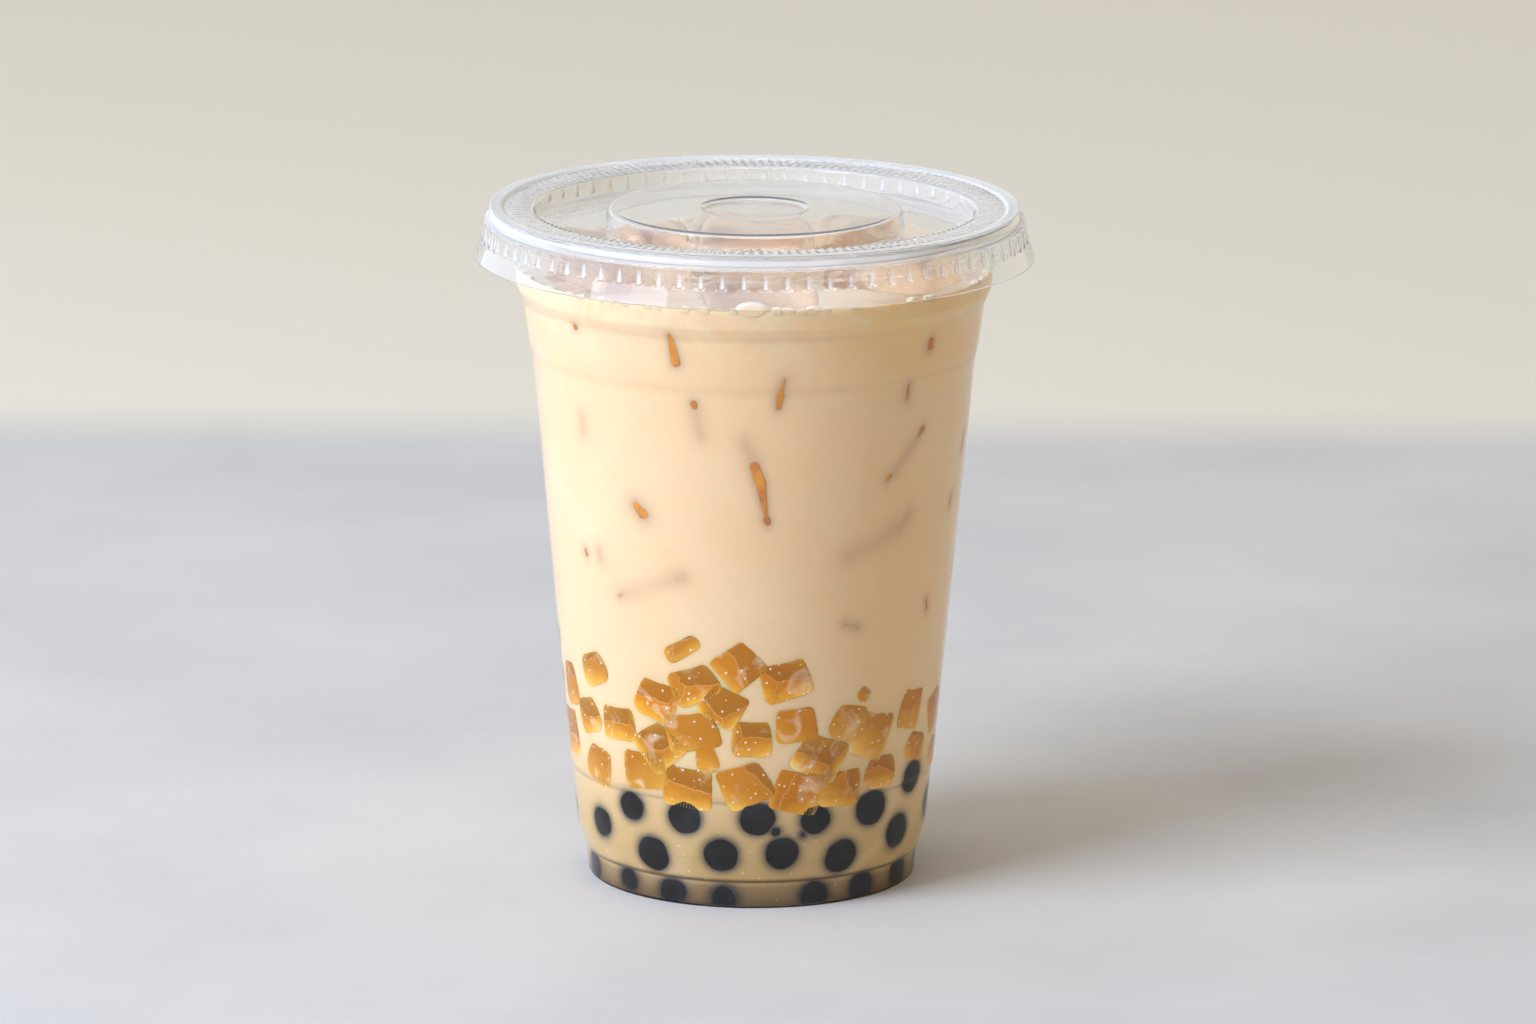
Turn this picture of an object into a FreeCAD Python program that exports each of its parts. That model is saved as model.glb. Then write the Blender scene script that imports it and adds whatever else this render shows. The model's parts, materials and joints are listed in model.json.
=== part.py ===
"""Bubble tea in a clear tapered cup with a flat lid, and ice floating in it.

Millimetres, +Z up. The origin is the centre of the foot, on the plane that the cup stands on.
The cup and the lid are thin formed sheets: each is one path turned about Z and given a wall.
"""
import FreeCAD
import Part

import math
import os
import random

from FreeCAD import Placement, Rotation, Vector

# ---------------------------------------------------------------- driving dimensions, mm
CUP_HEIGHT = 125.3          # foot plane to the top of the rolled rim
RIM_RADIUS = 49.0           # outside of the rolled rim
CUP_WALL = 0.5

RIM_WIDTH = 2.4             # radial width of the rolled rim
RIM_DEPTH = 2.3             # height of the rolled rim
RIM_ROUND = 0.8
NECK_ROUND = 0.6
COLLAR_INSET = 4.9          # rim outside to collar outside
COLLAR_TOP = 5.5            # rim top down to the top of the collar
COLLAR_BOTTOM = 14.3        # rim top down to the stacking step
COLLAR_TAPER = 0.04         # radius lost for each mm of height
STACK_STEP = (1.2, 2.6)     # radius and height of the step below the collar
BAND_HEIGHT = 8.0
BAND_TAPER = 0.14
GRIP_STEP = (0.6, 2.4)      # radius and height of the step below the band
STEP_ROUND = 1.4
BODY_TAPER = 0.0925
LEDGE_HEIGHT = 20.6         # foot plane to the ledge low on the body
LEDGE_STEP = (0.35, 1.0)
LEDGE_ROUND = 0.8
SHOULDER_HEIGHT = 10.0      # where the body starts to round inwards
SHOULDER_INSET = 1.35
FOOT_HEIGHT = 5.0
FOOT_INSET = 0.35           # step from the shoulder in to the foot
FOOT_TAPER = 0.08
FOOT_TREAD = 1.6            # width of the ring that touches the table
FOOT_ROUND = 0.7
PUNT_HEIGHT = 2.4           # how far the base is pushed up inside the foot
PUNT_SLOPE = 1.8
PUNT_ROUND = 1.5
SHOULDER_ROUND = 5.0
UNDERCUT_HEIGHT = 0.5       # foot to the shoulder's lower edge
UNDERCUT_ROUND = 0.4

LID_WALL = 0.45
LID_CLEARANCE = 0.3         # lid skirt to the rim
CROWN_WIDTH = 3.05          # rounded bead over the rim
CROWN_ROUND = 1.1
SKIRT_TOP = 2.4             # rim top down to the top of the skirt ribs
SKIRT_RIB_HEIGHT = 3.3
SKIRT_RIB_COUNT = 80
SKIRT_RIB_WIDTH = 0.7
SKIRT_RIB_DEPTH = 0.3       # at the foot of a rib, running out to nothing at its top
SKIRT_SHARE = 0.3           # share of the flare that is reached at the foot of the ribs
SKIRT_ROUND = 3.0
FLANGE_DROP = 9.0           # rim top down to the edge of the flange
FLANGE_REACH = 1.8          # how far the flange flares past the skirt
KNURL_WIDTH = 4.4           # radial length of the fine ribs
KNURL_COUNT = 160
KNURL_RIB_WIDTH = 0.7
KNURL_RIB_HEIGHT = 0.25
KNURL_DROP = 0.45           # crown down to the ribbed ring
KNURL_MARGIN = 0.5          # plain edge on each side of the fine ribs
WELL_DEPTH = 3.3
WELL_DRAFT = 0.6            # how far a wall of the well leans
WELL_ROUND = 0.5
LID_ROUND = 0.3
PLATEAU_RADIUS = 26.6
STRAW_RADIUS = 10.0         # shallow round recess for the straw
STRAW_DEPTH = 0.7

DRINK_LEVEL = 11.1          # rim top down to the surface of the drink

ICE_EDGE = 21.0
ICE_ROUND = 3.4
ICE_GAP = 0.8               # ice to the wall and to the lid
ICE_SPREAD = 1.19           # reach of a leaning cube, as a share of half its edge
ICE_RING_COUNT = 6
ICE_DIP = 1.6               # most that a cube of the ring floats lower than the highest
ICE_BEARING = 32.0          # degrees, of the first cube of the ring
ICE_TILT = 9.0              # most that a cube leans, degrees
ICE_YAW = 14.0
ICE_SEED = 5


# ---------------------------------------------------------------- paths
def left_of(start, end):
    """The unit vector to the left of the way from start to end."""
    dx, dz = end[0] - start[0], end[1] - start[1]
    length = math.hypot(dx, dz)
    return (-dz / length, dx / length)


def offset_path(path, distance):
    """The path moved to its left by distance, with each rounding grown or shrunk to stay concentric."""
    sides = [left_of(start, end) for start, end in zip(path, path[1:])]
    moved = []
    for (r, z, rounding), before, after in zip(path, sides[:1] + sides, sides + sides[-1:]):
        share = distance / (1 + before[0] * after[0] + before[1] * after[1])
        turns_left = before[0] * after[1] - before[1] * after[0] > 0
        grown = rounding - distance if turns_left else rounding + distance
        moved.append((r + share * (before[0] + after[0]), z + share * (before[1] + after[1]),
                      max(grown, 0) if rounding else 0))
    return moved


def edges_along(path):
    """Lines and tangent arcs along the path, in the XZ plane."""
    points = [Vector(r, 0, z) for r, z, _ in path]
    edges = []
    here = points[0]
    for i in range(1, len(points)):
        corner = points[i]
        rounding = path[i][2]
        if i + 1 < len(points) and rounding > 1e-6:
            back = (points[i - 1] - corner).normalize()
            on = (points[i + 1] - corner).normalize()
            half = back.getAngle(on) / 2
            reach = rounding / math.tan(half)
            arc_start = corner + back * reach
            arc_end = corner + on * reach
            inward = (back + on).normalize()
            arc_middle = corner + inward * (rounding / math.sin(half) - rounding)
            if (arc_start - here).Length > 1e-6:
                edges.append(Part.LineSegment(here, arc_start).toShape())
            edges.append(Part.Arc(arc_start, arc_middle, arc_end).toShape())
            here = arc_end
        else:
            edges.append(Part.LineSegment(here, corner).toShape())
            here = corner
    return edges


def turned_sheet(path, wall):
    """A sheet of revolution: the path, and the path moved to its left by the wall."""
    other = offset_path(path, wall)
    edges = edges_along(path) + edges_along(other)
    for end in (0, -1):
        near, far = (Vector(p[end][0], 0, p[end][1]) for p in (path, other))
        edges.append(Part.LineSegment(near, far).toShape())
    wire = Part.Wire(Part.__sortEdges__(edges))
    return Part.Face(wire).revolve(Vector(0, 0, 0), Vector(0, 0, 1), 360)


# ---------------------------------------------------------------- cup
def cup_outside():
    """The outside from the middle of the base, over the foot and up to the rim: (radius, height, rounding)."""
    collar_r = RIM_RADIUS - COLLAR_INSET
    collar_top = CUP_HEIGHT - COLLAR_TOP
    collar_bottom = CUP_HEIGHT - COLLAR_BOTTOM
    collar_low_r = collar_r - COLLAR_TAPER * (collar_top - collar_bottom)
    band_top = collar_bottom - STACK_STEP[1]
    band_r = collar_low_r - STACK_STEP[0]
    band_bottom = band_top - BAND_HEIGHT
    band_low_r = band_r - BAND_TAPER * BAND_HEIGHT
    body_top = band_bottom - GRIP_STEP[1]
    body_r = band_low_r - GRIP_STEP[0]
    ledge_r = body_r - BODY_TAPER * (body_top - LEDGE_HEIGHT - LEDGE_STEP[1])
    under_ledge_r = ledge_r - LEDGE_STEP[0]
    shoulder_r = under_ledge_r - BODY_TAPER * (LEDGE_HEIGHT - SHOULDER_HEIGHT)
    shoulder_low_r = shoulder_r - SHOULDER_INSET
    foot_r = shoulder_low_r - FOOT_INSET
    foot_low_r = foot_r - FOOT_TAPER * FOOT_HEIGHT
    tread_r = foot_low_r - FOOT_TREAD
    hook_r = RIM_RADIUS - CUP_WALL
    hook_top = CUP_HEIGHT - CUP_WALL
    neck_r = RIM_RADIUS - RIM_WIDTH + CUP_WALL
    return [
        (0, PUNT_HEIGHT, 0),
        (tread_r - PUNT_SLOPE, PUNT_HEIGHT, PUNT_ROUND),
        (tread_r, 0, FOOT_ROUND),
        (foot_low_r, 0, FOOT_ROUND),
        (foot_r, FOOT_HEIGHT, UNDERCUT_ROUND),
        (shoulder_low_r, FOOT_HEIGHT + UNDERCUT_HEIGHT, UNDERCUT_ROUND),
        (shoulder_r, SHOULDER_HEIGHT, SHOULDER_ROUND),
        (under_ledge_r, LEDGE_HEIGHT, LEDGE_ROUND),
        (ledge_r, LEDGE_HEIGHT + LEDGE_STEP[1], LEDGE_ROUND),
        (body_r, body_top, STEP_ROUND),
        (band_low_r, band_bottom, STEP_ROUND),
        (band_r, band_top, STEP_ROUND),
        (collar_low_r, collar_bottom, STEP_ROUND),
        (collar_r, collar_top, STEP_ROUND),
        (neck_r, CUP_HEIGHT - RIM_DEPTH, NECK_ROUND),
        (neck_r, hook_top, RIM_ROUND - CUP_WALL),
        (hook_r, hook_top, RIM_ROUND - CUP_WALL),
        (hook_r, CUP_HEIGHT - RIM_DEPTH, 0),
    ]


def cup_inside():
    return offset_path(cup_outside(), CUP_WALL)


def inside_radius(height):
    """The radius of the cup's inner wall at a height."""
    wall = [p for p in cup_inside() if p[0] > 0]
    for (r1, z1, _), (r2, z2, _) in zip(wall, wall[1:]):
        if z1 < height <= z2:
            return r1 + (r2 - r1) * (height - z1) / (z2 - z1)
    raise ValueError(f"no wall at {height}")


def make_cup():
    return turned_sheet(cup_outside(), CUP_WALL)


# ---------------------------------------------------------------- lid
def lid_levels():
    """Heights of the lid's upper faces, with the crown's underside on the rim."""
    crown = CUP_HEIGHT + LID_WALL
    ring = crown - KNURL_DROP
    return crown, ring, ring - WELL_DEPTH


def lid_radii():
    """Outside of the skirt, outer and inner edge of the ribbed ring, and the wall of the well at its floor."""
    skirt = RIM_RADIUS + LID_CLEARANCE + LID_WALL
    ring_outer = skirt - CROWN_WIDTH - KNURL_MARGIN
    ring_inner = ring_outer - KNURL_WIDTH - 2 * KNURL_MARGIN
    return skirt, ring_outer, ring_inner, ring_inner - WELL_DRAFT


def lid_underside():
    """The lid's lower face from the middle out over the rim to the flange's edge."""
    crown, ring, floor = (level - LID_WALL for level in lid_levels())
    skirt, ring_outer, ring_inner, well = lid_radii()
    inner_skirt = skirt - LID_WALL
    rib_top = CUP_HEIGHT - SKIRT_TOP
    return [
        (0, ring - STRAW_DEPTH, 0),
        (STRAW_RADIUS - STRAW_DEPTH, ring - STRAW_DEPTH, LID_ROUND),
        (STRAW_RADIUS, ring, LID_ROUND),
        (PLATEAU_RADIUS, ring, WELL_ROUND),
        (PLATEAU_RADIUS + WELL_DRAFT, floor, WELL_ROUND),
        (well, floor, WELL_ROUND),
        (ring_inner, ring, WELL_ROUND),
        (ring_outer, ring, LID_ROUND),
        (skirt - CROWN_WIDTH, crown, LID_ROUND),
        (inner_skirt, crown, CROWN_ROUND - LID_WALL),
        (inner_skirt, rib_top, SKIRT_ROUND),
        (inner_skirt + SKIRT_SHARE * FLANGE_REACH, rib_top - SKIRT_RIB_HEIGHT, SKIRT_ROUND),
        (inner_skirt + FLANGE_REACH, CUP_HEIGHT - FLANGE_DROP, 0),
    ]


def around(shape, count):
    """Copies of the shape, evenly spaced about Z."""
    copies = []
    for i in range(count):
        copy = shape.copy()
        copy.rotate(Vector(0, 0, 0), Vector(0, 0, 1), 360.0 * i / count)
        copies.append(copy)
    return copies


def skirt_rib():
    """A wedge to cut from the skirt's outer face, deepest at its foot."""
    skirt = lid_radii()[0]
    top = CUP_HEIGHT - SKIRT_TOP
    bottom = top - SKIRT_RIB_HEIGHT
    outside = skirt + FLANGE_REACH
    foot = Vector(skirt + SKIRT_SHARE * FLANGE_REACH - SKIRT_RIB_DEPTH, -SKIRT_RIB_WIDTH / 2, bottom)
    head = Vector(skirt, foot.y, top)
    clear_foot = Vector(outside, foot.y, bottom)
    clear_head = Vector(outside, foot.y, top)
    outline = Part.makePolygon([head, foot, clear_foot, clear_head, head])
    return Part.Face(outline).extrude(Vector(0, SKIRT_RIB_WIDTH, 0))


def knurl_rib():
    """One fine radial rib of the ring, seated in the sheet."""
    ring, ring_outer = lid_levels()[1], lid_radii()[1]
    seat = ring - LID_WALL / 2
    half = KNURL_RIB_WIDTH / 2
    start = ring_outer - KNURL_MARGIN - KNURL_WIDTH
    corners = [(-half, seat), (half, seat), (half, ring), (0, ring + KNURL_RIB_HEIGHT), (-half, ring), (-half, seat)]
    outline = Part.makePolygon([Vector(start, y, z) for y, z in corners])
    return Part.Face(outline).extrude(Vector(KNURL_WIDTH, 0, 0))


def make_lid():
    sheet = turned_sheet(lid_underside(), LID_WALL)
    sheet = sheet.cut(Part.makeCompound(around(skirt_rib(), SKIRT_RIB_COUNT)))
    return sheet.fuse(around(knurl_rib(), KNURL_COUNT)).removeSplitter()


# ---------------------------------------------------------------- ice and drink
def ice_cube(edge, luck):
    """A rounded cube at the origin, leaning a little."""
    cube = Part.makeBox(edge, edge, edge, Vector(-edge / 2, -edge / 2, -edge / 2))
    cube = cube.makeFillet(min(ICE_ROUND, edge / 4), cube.Edges)
    lean = Rotation(luck.uniform(-ICE_YAW, ICE_YAW), luck.uniform(-ICE_TILT, ICE_TILT),
                    luck.uniform(-ICE_TILT, ICE_TILT))
    cube.Placement = Placement(Vector(0, 0, 0), lean)
    return cube


def stood_under(cube, ceiling):
    """The cube moved up until it is ICE_GAP below the ceiling."""
    cube.translate(Vector(0, 0, ceiling - ICE_GAP - cube.optimalBoundingBox().ZMax))
    return cube


def ice_ring():
    """The radius of the ring of cubes and the reach of one, as large as the wall and its neighbours allow."""
    level = CUP_HEIGHT - DRINK_LEVEL
    room = inside_radius(level - ICE_EDGE / 2) - ICE_GAP
    step = math.sin(math.pi / ICE_RING_COUNT)
    reach = min(ICE_EDGE / 2 * ICE_SPREAD, (room * step - ICE_GAP / 2) / (1 + step))
    return room - reach, reach


def make_ice():
    """One cube in the middle and a ring of them along the wall."""
    luck = random.Random(ICE_SEED)
    crown, ring, floor = lid_levels()
    ring_radius, reach = ice_ring()
    middle_reach = min(reach, ring_radius - reach - ICE_GAP)
    middle = ice_cube(2 * middle_reach / ICE_SPREAD, luck)
    cubes = [stood_under(middle, ring - LID_WALL - STRAW_DEPTH)]
    for i in range(ICE_RING_COUNT):
        cube = ice_cube(2 * reach / ICE_SPREAD, luck)
        cube = stood_under(cube, floor - LID_WALL - luck.uniform(0, ICE_DIP))
        cube.translate(Vector(ring_radius, 0, 0))
        cube.rotate(Vector(0, 0, 0), Vector(0, 0, 1), ICE_BEARING + 360.0 * i / ICE_RING_COUNT)
        cubes.append(cube)
    return cubes


def make_drink(cubes):
    """What fills the cup up to its level, with a pocket round each floating cube."""
    level = CUP_HEIGHT - DRINK_LEVEL
    wall = cup_inside()
    below = [p for p in wall if p[1] < level and p[0] < RIM_RADIUS - RIM_WIDTH]
    path = below + [(inside_radius(level), level, 0), (0, level, 0)]
    edges = edges_along(path)
    edges.append(Part.LineSegment(Vector(0, 0, level), Vector(0, 0, path[0][1])).toShape())
    drink = Part.Face(Part.Wire(Part.__sortEdges__(edges))).revolve(Vector(0, 0, 0), Vector(0, 0, 1), 360)
    return drink.cut(cubes)


# ---------------------------------------------------------------- write
def write(name, shape):
    solids = shape.Solids
    if len(solids) != 1 or not solids[0].isValid():
        raise RuntimeError(f"{name}: {len(solids)} solids, valid {[s.isValid() for s in solids]}")
    solid = solids[0]
    solid.exportStep(f"parts/{name}.step")
    box = solid.optimalBoundingBox()
    print(f"{name}: {solid.Volume / 1000:.2f} cm3, z {box.ZMin:.2f} to {box.ZMax:.2f}, "
          f"x {box.XMin:.2f} to {box.XMax:.2f}")


def main():
    os.makedirs("parts", exist_ok=True)
    cubes = make_ice()
    write("cup", make_cup())
    write("lid", make_lid())
    write("drink", make_drink(cubes))
    for number, cube in enumerate(cubes, 1):
        write(f"ice_{number}", cube)


main()
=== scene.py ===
"""Looks of an iced milk tea with tapioca pearls and amber jelly, in a clear cup with a flat lid. Metres."""
import json
import math
import random

import bpy
import numpy as np
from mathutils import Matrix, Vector

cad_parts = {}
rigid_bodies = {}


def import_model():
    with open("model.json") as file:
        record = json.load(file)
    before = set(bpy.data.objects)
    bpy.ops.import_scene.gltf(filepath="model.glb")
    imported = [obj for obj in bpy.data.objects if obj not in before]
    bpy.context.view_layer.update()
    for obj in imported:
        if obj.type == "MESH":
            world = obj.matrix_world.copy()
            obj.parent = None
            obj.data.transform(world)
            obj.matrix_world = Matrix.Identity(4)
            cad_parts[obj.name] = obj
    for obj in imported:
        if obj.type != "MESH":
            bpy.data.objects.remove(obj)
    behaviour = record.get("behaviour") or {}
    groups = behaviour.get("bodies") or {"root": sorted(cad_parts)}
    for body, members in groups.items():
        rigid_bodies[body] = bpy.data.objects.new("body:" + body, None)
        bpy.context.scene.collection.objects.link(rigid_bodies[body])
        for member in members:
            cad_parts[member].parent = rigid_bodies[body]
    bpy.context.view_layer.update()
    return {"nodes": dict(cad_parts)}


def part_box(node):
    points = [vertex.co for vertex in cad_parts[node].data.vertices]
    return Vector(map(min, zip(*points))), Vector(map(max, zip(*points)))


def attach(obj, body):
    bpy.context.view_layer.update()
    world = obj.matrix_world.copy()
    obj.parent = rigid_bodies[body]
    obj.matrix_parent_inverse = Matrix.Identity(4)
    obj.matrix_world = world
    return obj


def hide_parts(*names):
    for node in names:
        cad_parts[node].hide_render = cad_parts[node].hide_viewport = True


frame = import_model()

CUP_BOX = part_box("cup")
DRINK_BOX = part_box("drink")
ICE_NODES = sorted(name for name in frame["nodes"] if name.startswith("ice_"))

bl_info = {
    "name": "Iced milk tea",
    "version": (1, 0, 0),
    "blender": (4, 5, 0),
    "location": "3D View > Sidebar > Milk tea",
    "description": "Builds a lidded cup of iced milk tea with pearls and jelly",
    "category": "Add Mesh",
}

# ---------------------------------------------------------------- sizes that follow the frame, metres
CUP_HEIGHT = CUP_BOX[1][2]
RIM_RADIUS = CUP_BOX[1][0]
LEVEL = DRINK_BOX[1][2]

RIM_WIDTH = 0.0024
RIM_DEPTH = 0.0023
RIM_ROUND = 0.0008
NECK_ROUND = 0.0006
COLLAR_INSET = 0.0049
COLLAR_TOP = 0.0055
COLLAR_BOTTOM = 0.0143
COLLAR_TAPER = 0.04
STACK_STEP = (0.0012, 0.0026)
BAND_HEIGHT = 0.008
BAND_TAPER = 0.14
GRIP_STEP = (0.0006, 0.0024)
STEP_ROUND = 0.0014
BODY_TAPER = 0.0925
LEDGE_HEIGHT = 0.0206
LEDGE_STEP = (0.00035, 0.001)
LEDGE_ROUND = 0.0008
SHOULDER_HEIGHT = 0.010
SHOULDER_INSET = 0.00135
SHOULDER_ROUND = 0.005
FOOT_HEIGHT = 0.005
FOOT_INSET = 0.00035
FOOT_TAPER = 0.08
FOOT_TREAD = 0.0016
FOOT_ROUND = 0.0007
PUNT_HEIGHT = 0.0024
PUNT_SLOPE = 0.0018
PUNT_ROUND = 0.0015
UNDERCUT_HEIGHT = 0.0005
UNDERCUT_ROUND = 0.0004

LID_CLEARANCE = 0.0003
CROWN_WIDTH = 0.00305
CROWN_ROUND = 0.0011
SKIRT_TOP = 0.0024
SKIRT_RIB_HEIGHT = 0.0033
SKIRT_ROUND = 0.003
SKIRT_SHARE = 0.3
FLANGE_DROP = 0.009
FLANGE_REACH = 0.0018
KNURL_WIDTH = 0.0044
KNURL_MARGIN = 0.0005
KNURL_DROP = 0.00045
RIB_END = 0.0003
WELL_DEPTH = 0.0033
WELL_DRAFT = 0.0006
WELL_ROUND = 0.0005
LID_ROUND = 0.0003
PLATEAU_RADIUS = 0.0266
STRAW_RADIUS = 0.010
STRAW_DEPTH = 0.0007

TINT_STRENGTH = (0.85, 0.4, 0.6)    # of pearls, jelly and sunken ice just behind the drink's skin
PAINTED_CREASE_SHADE = [                 # height, half width and strength of painted shade: dark lines in the steps of the wall and darkening at the base
    (FOOT_HEIGHT + UNDERCUT_HEIGHT * 0.5, 0.00035, 0.85), (LEDGE_HEIGHT, 0.0003, 0.3), (0.0, 0.0034, 0.7),
    (CUP_HEIGHT - 0.0262, 0.0004, 0.06), (CUP_HEIGHT - 0.0162, 0.0005, 0.05),
]
WORLD_LEFT = (2.1, (0.88, 0.96, 1.22))   # strength and colour of the light from each side of the room
WORLD_RIGHT = (0.75, (1.0, 0.80, 0.38))
WORLD_BACK = (1.3, (1.0, 0.96, 0.88))
WORLD_ABOVE = (0.3, (1.0, 1.0, 1.0))
WORLD_SHINE = 15.0          # seen only in what is glossy, from above the front
WORLD_THROUGH = 1.1         # seen only through what is clear, from the front and above
WORLD_MIRRORED = 0.6        # share of the sides' light that glossy things mirror

MM = 0.001
DRINK_REACH = 0.00005       # how far the drink goes into the wall
PIECE_REACH = 0.00008       # how far what is pressed on the wall goes into it
ICE_ROUNDING = 0.34         # of half a cube's edge
ICE_DENT = 0.00035
ICE_WAIST = 0.06            # how much narrower the middle of a cube is
POCKET_SHARE = 0.996        # a pocket's size against the cube that fills it
PEARL_SPLIT = 0.014         # height between the two meshes of pearls
INWARD_DIP = 0.2            # radians by which the way into the jelly leans down
SUNKEN_LIGHT = (-0.35, -0.3, -0.89)     # the way light goes inside the jelly, for the painted light and shade of its far sides

CAMERA_LENS = 219.3         # millimetres
CAMERA_SHIFT = (0.0098, 0.0266)
CAMERA_RISE = 13.22         # degrees above the level of what it looks at
CAMERA_ROLL = 0.3           # degrees
LOOK_AT = (0, 0, 0.06)

# ---------------------------------------------------------------- what shows through the wall
# Bearings are degrees to the right of the front. Heights and widths are millimetres.
SHOWN_PEARLS = [            # bearing, height, width of the disc on the wall
    (-42, 18.2, 5.6), (-22, 17.6, 6.3), (1.8, 18.0, 6.4), (21, 17.4, 5.6), (42, 18.1, 7.0), (62, 22.0, 6.2),
    (-88, 13.0, 6.0), (-58, 13.3, 5.6), (-34.5, 9.9, 6.4), (-10, 11.0, 6.2), (10, 11.4, 6.0),
    (31, 9.9, 6.2), (56, 12.2, 6.4), (82, 14.6, 6.2), (-72, 3.0, 5.4), (-48, 3.2, 4.6), (-28.5, 2.5, 5.4),
    (-9.5, 2.3, 4.8), (22.5, 2.4, 5.4), (42, 2.7, 5.6), (63, 3.2, 5.6),
]
SHOWN_CRUMBS = [(7.8, 15.3, 1.9), (16.8, 14.5, 1.3)]
SHOWN_JELLY = [             # bearing, height, width, height of the piece, turn in degrees, lean, tone
    (-20.5, 49.7, 7.4, 3.6, 28, 10, 0.3), (-4, 47.2, 7.6, 7.4, 40, 0, 0.6),
    (10, 44.5, 8.6, 7.4, 17, 3, 0.95), (-55, 42.9, 7.4, 6.6, 10, 24, 0.2),
    (-30, 39.7, 8.6, 8.2, -14, 4, 0.9), (-17.5, 43.3, 9.2, 7.3, 28, 6, 0.6),
    (-8.8, 39.4, 7.2, 6.8, -30, 3, 0.5), (13.5, 35.9, 7.8, 7.2, 3, 3, 0.8),
    (-60, 33.6, 7.4, 7.4, 12, 14, 0.35), (-45, 33.4, 7.6, 6.6, 12, 16, 0.3),
    (-18.5, 34.1, 9.6, 7.2, 16, 5, 0.35), (0, 33.2, 6.8, 7.2, -8, 13, 0.6),
    (31, 35.5, 7.6, 7.6, -22, 12, 0.4), (40, 32.3, 7.6, 9.0, -28, 10, 0.2),
    (57, 35.3, 6.6, 7.9, -20, 12, 0.3), (-30, 30.6, 8.0, 8.2, 40, 3, 0.3), (-14, 29.4, 4.8, 6.4, 8, 5, 0.8),
    (21.5, 29.4, 9.0, 8.0, -28, 3, 0.35), (-56.5, 24.6, 7.6, 8.0, -10, 13, 0.4),
    (-35.5, 25.6, 8.8, 7.6, 14, 15, 0.45), (-20.5, 23.4, 8.8, 8.0, -4, 3, 0.4),
    (-2, 24.4, 8.6, 8.2, 22, 5, 0.45), (14.5, 22.8, 8.6, 8.0, -12, 4, 0.85),
    (29, 22.8, 7.8, 7.4, 6, 17, 0.3), (44.5, 24.9, 8.0, 7.4, -10, 15, 0.25),
    (62, 27.6, 7.6, 6.6, -16, 10, 0.3), (-72, 38.3, 7.0, 9.0, 4, 8, 0.5), (-76, 28.4, 7.6, 9.0, 0, 6, 0.6),
    (35.8, 40.2, 3.0, 3.0, 40, 8, 0.4), (76, 33, 7.4, 7.6, 20, 8, 0.3), (80, 24.5, 7.4, 7.0, -12, 8, 0.4),
]
SHOWN_ICE_EDGES = [         # bearing and height of both ends, width at each, depth behind the wall
    (-21, 109.5, -19.8, 104.4, 1.0, 2.0, 0.0), (-50, 108.5, -50, 108.2, 1.2, 1.2, 0.0),
    (-15.6, 96.7, -15.4, 96.2, 1.5, 1.3, 0.0), (-15.2, 95.4, -13.8, 90.5, 0.8, 0.5, 0.45),
    (7.6, 101.6, 6.8, 99.0, 0.9, 1.4, 0.15), (6.8, 98.6, 6.3, 96.3, 1.6, 1.1, 0.0),
    (-2.4, 90.0, 0.2, 85.6, 0.6, 1.6, 0.5), (0.2, 85.4, 1.9, 82.0, 1.9, 2.4, 0.0),
    (1.9, 82.0, 3.4, 76.0, 2.2, 0.8, 0.0), (3.6, 75.2, 3.9, 74.6, 1.5, 1.3, 0.0),
    (43.8, 98.4, 43.6, 95.8, 0.7, 0.9, 0.1), (50.8, 89.4, 49.2, 88.2, 1.2, 0.8, 0.0),
    (49, 88.0, 40.2, 81.8, 0.6, 0.5, 0.35), (39.8, 81.6, 38.8, 81.0, 0.8, 1.0, 0.0),
    (78, 85.0, 77, 82.0, 0.9, 1.1, 0.1), (50, 106.0, 50, 105.0, 1.6, 1.8, 0.0),
    (70.8, 74.2, 70, 72.6, 0.8, 0.9, 0.1), (-51.8, 91.2, -51.4, 88.6, 0.7, 0.8, 0.4),
    (-33.6, 76.4, -31.4, 74.8, 2.4, 2.8, 0.45), (-31, 75.6, -30.2, 74.8, 0.8, 0.8, 0.0),
    (-54.5, 65.5, -54, 64.7, 1.0, 1.0, 0.1), (-48.4, 66.4, -47.8, 64.6, 0.8, 0.8, 0.4),
    (-41.2, 58.4, -40, 58.8, 1.0, 0.8, 0.2), (-40, 58.8, -22, 63.2, 0.7, 0.7, 0.55),
    (-21.6, 63.2, -20, 63.6, 1.2, 1.2, 0.4), (47.8, 73.4, 45, 71.6, 1.0, 1.0, 0.35),
    (44, 71.4, 27, 67.2, 1.2, 0.8, 0.75), (27.2, 54.4, 31.8, 53.5, 0.7, 0.7, 0.15),
    (60, 55.6, 61, 53.8, 0.9, 0.8, 0.1), (83, 62.0, 82, 58.0, 1.2, 1.4, 0.2),
]
SHOWN_BUBBLES = [            # bearing, half width, half height
    (-0.6, 2.9, 1.3), (5.4, 1.0, 0.8), (8.2, 1.3, 0.7), (11.6, 0.9, 0.6), (14.2, 1.4, 0.8),
    (-4.9, 0.8, 0.6), (-12, 1.2, 0.6), (17.6, 0.8, 0.6), (-16.5, 0.9, 0.7),
]


def linear(red, green, blue):
    """A colour given in 0 to 255 steps of a screen, as the shader's own numbers."""
    shares = (value / 255 for value in (red, green, blue))
    return tuple(v / 12.92 if v <= 0.04045 else ((v + 0.055) / 1.055) ** 2.4 for v in shares)


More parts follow.
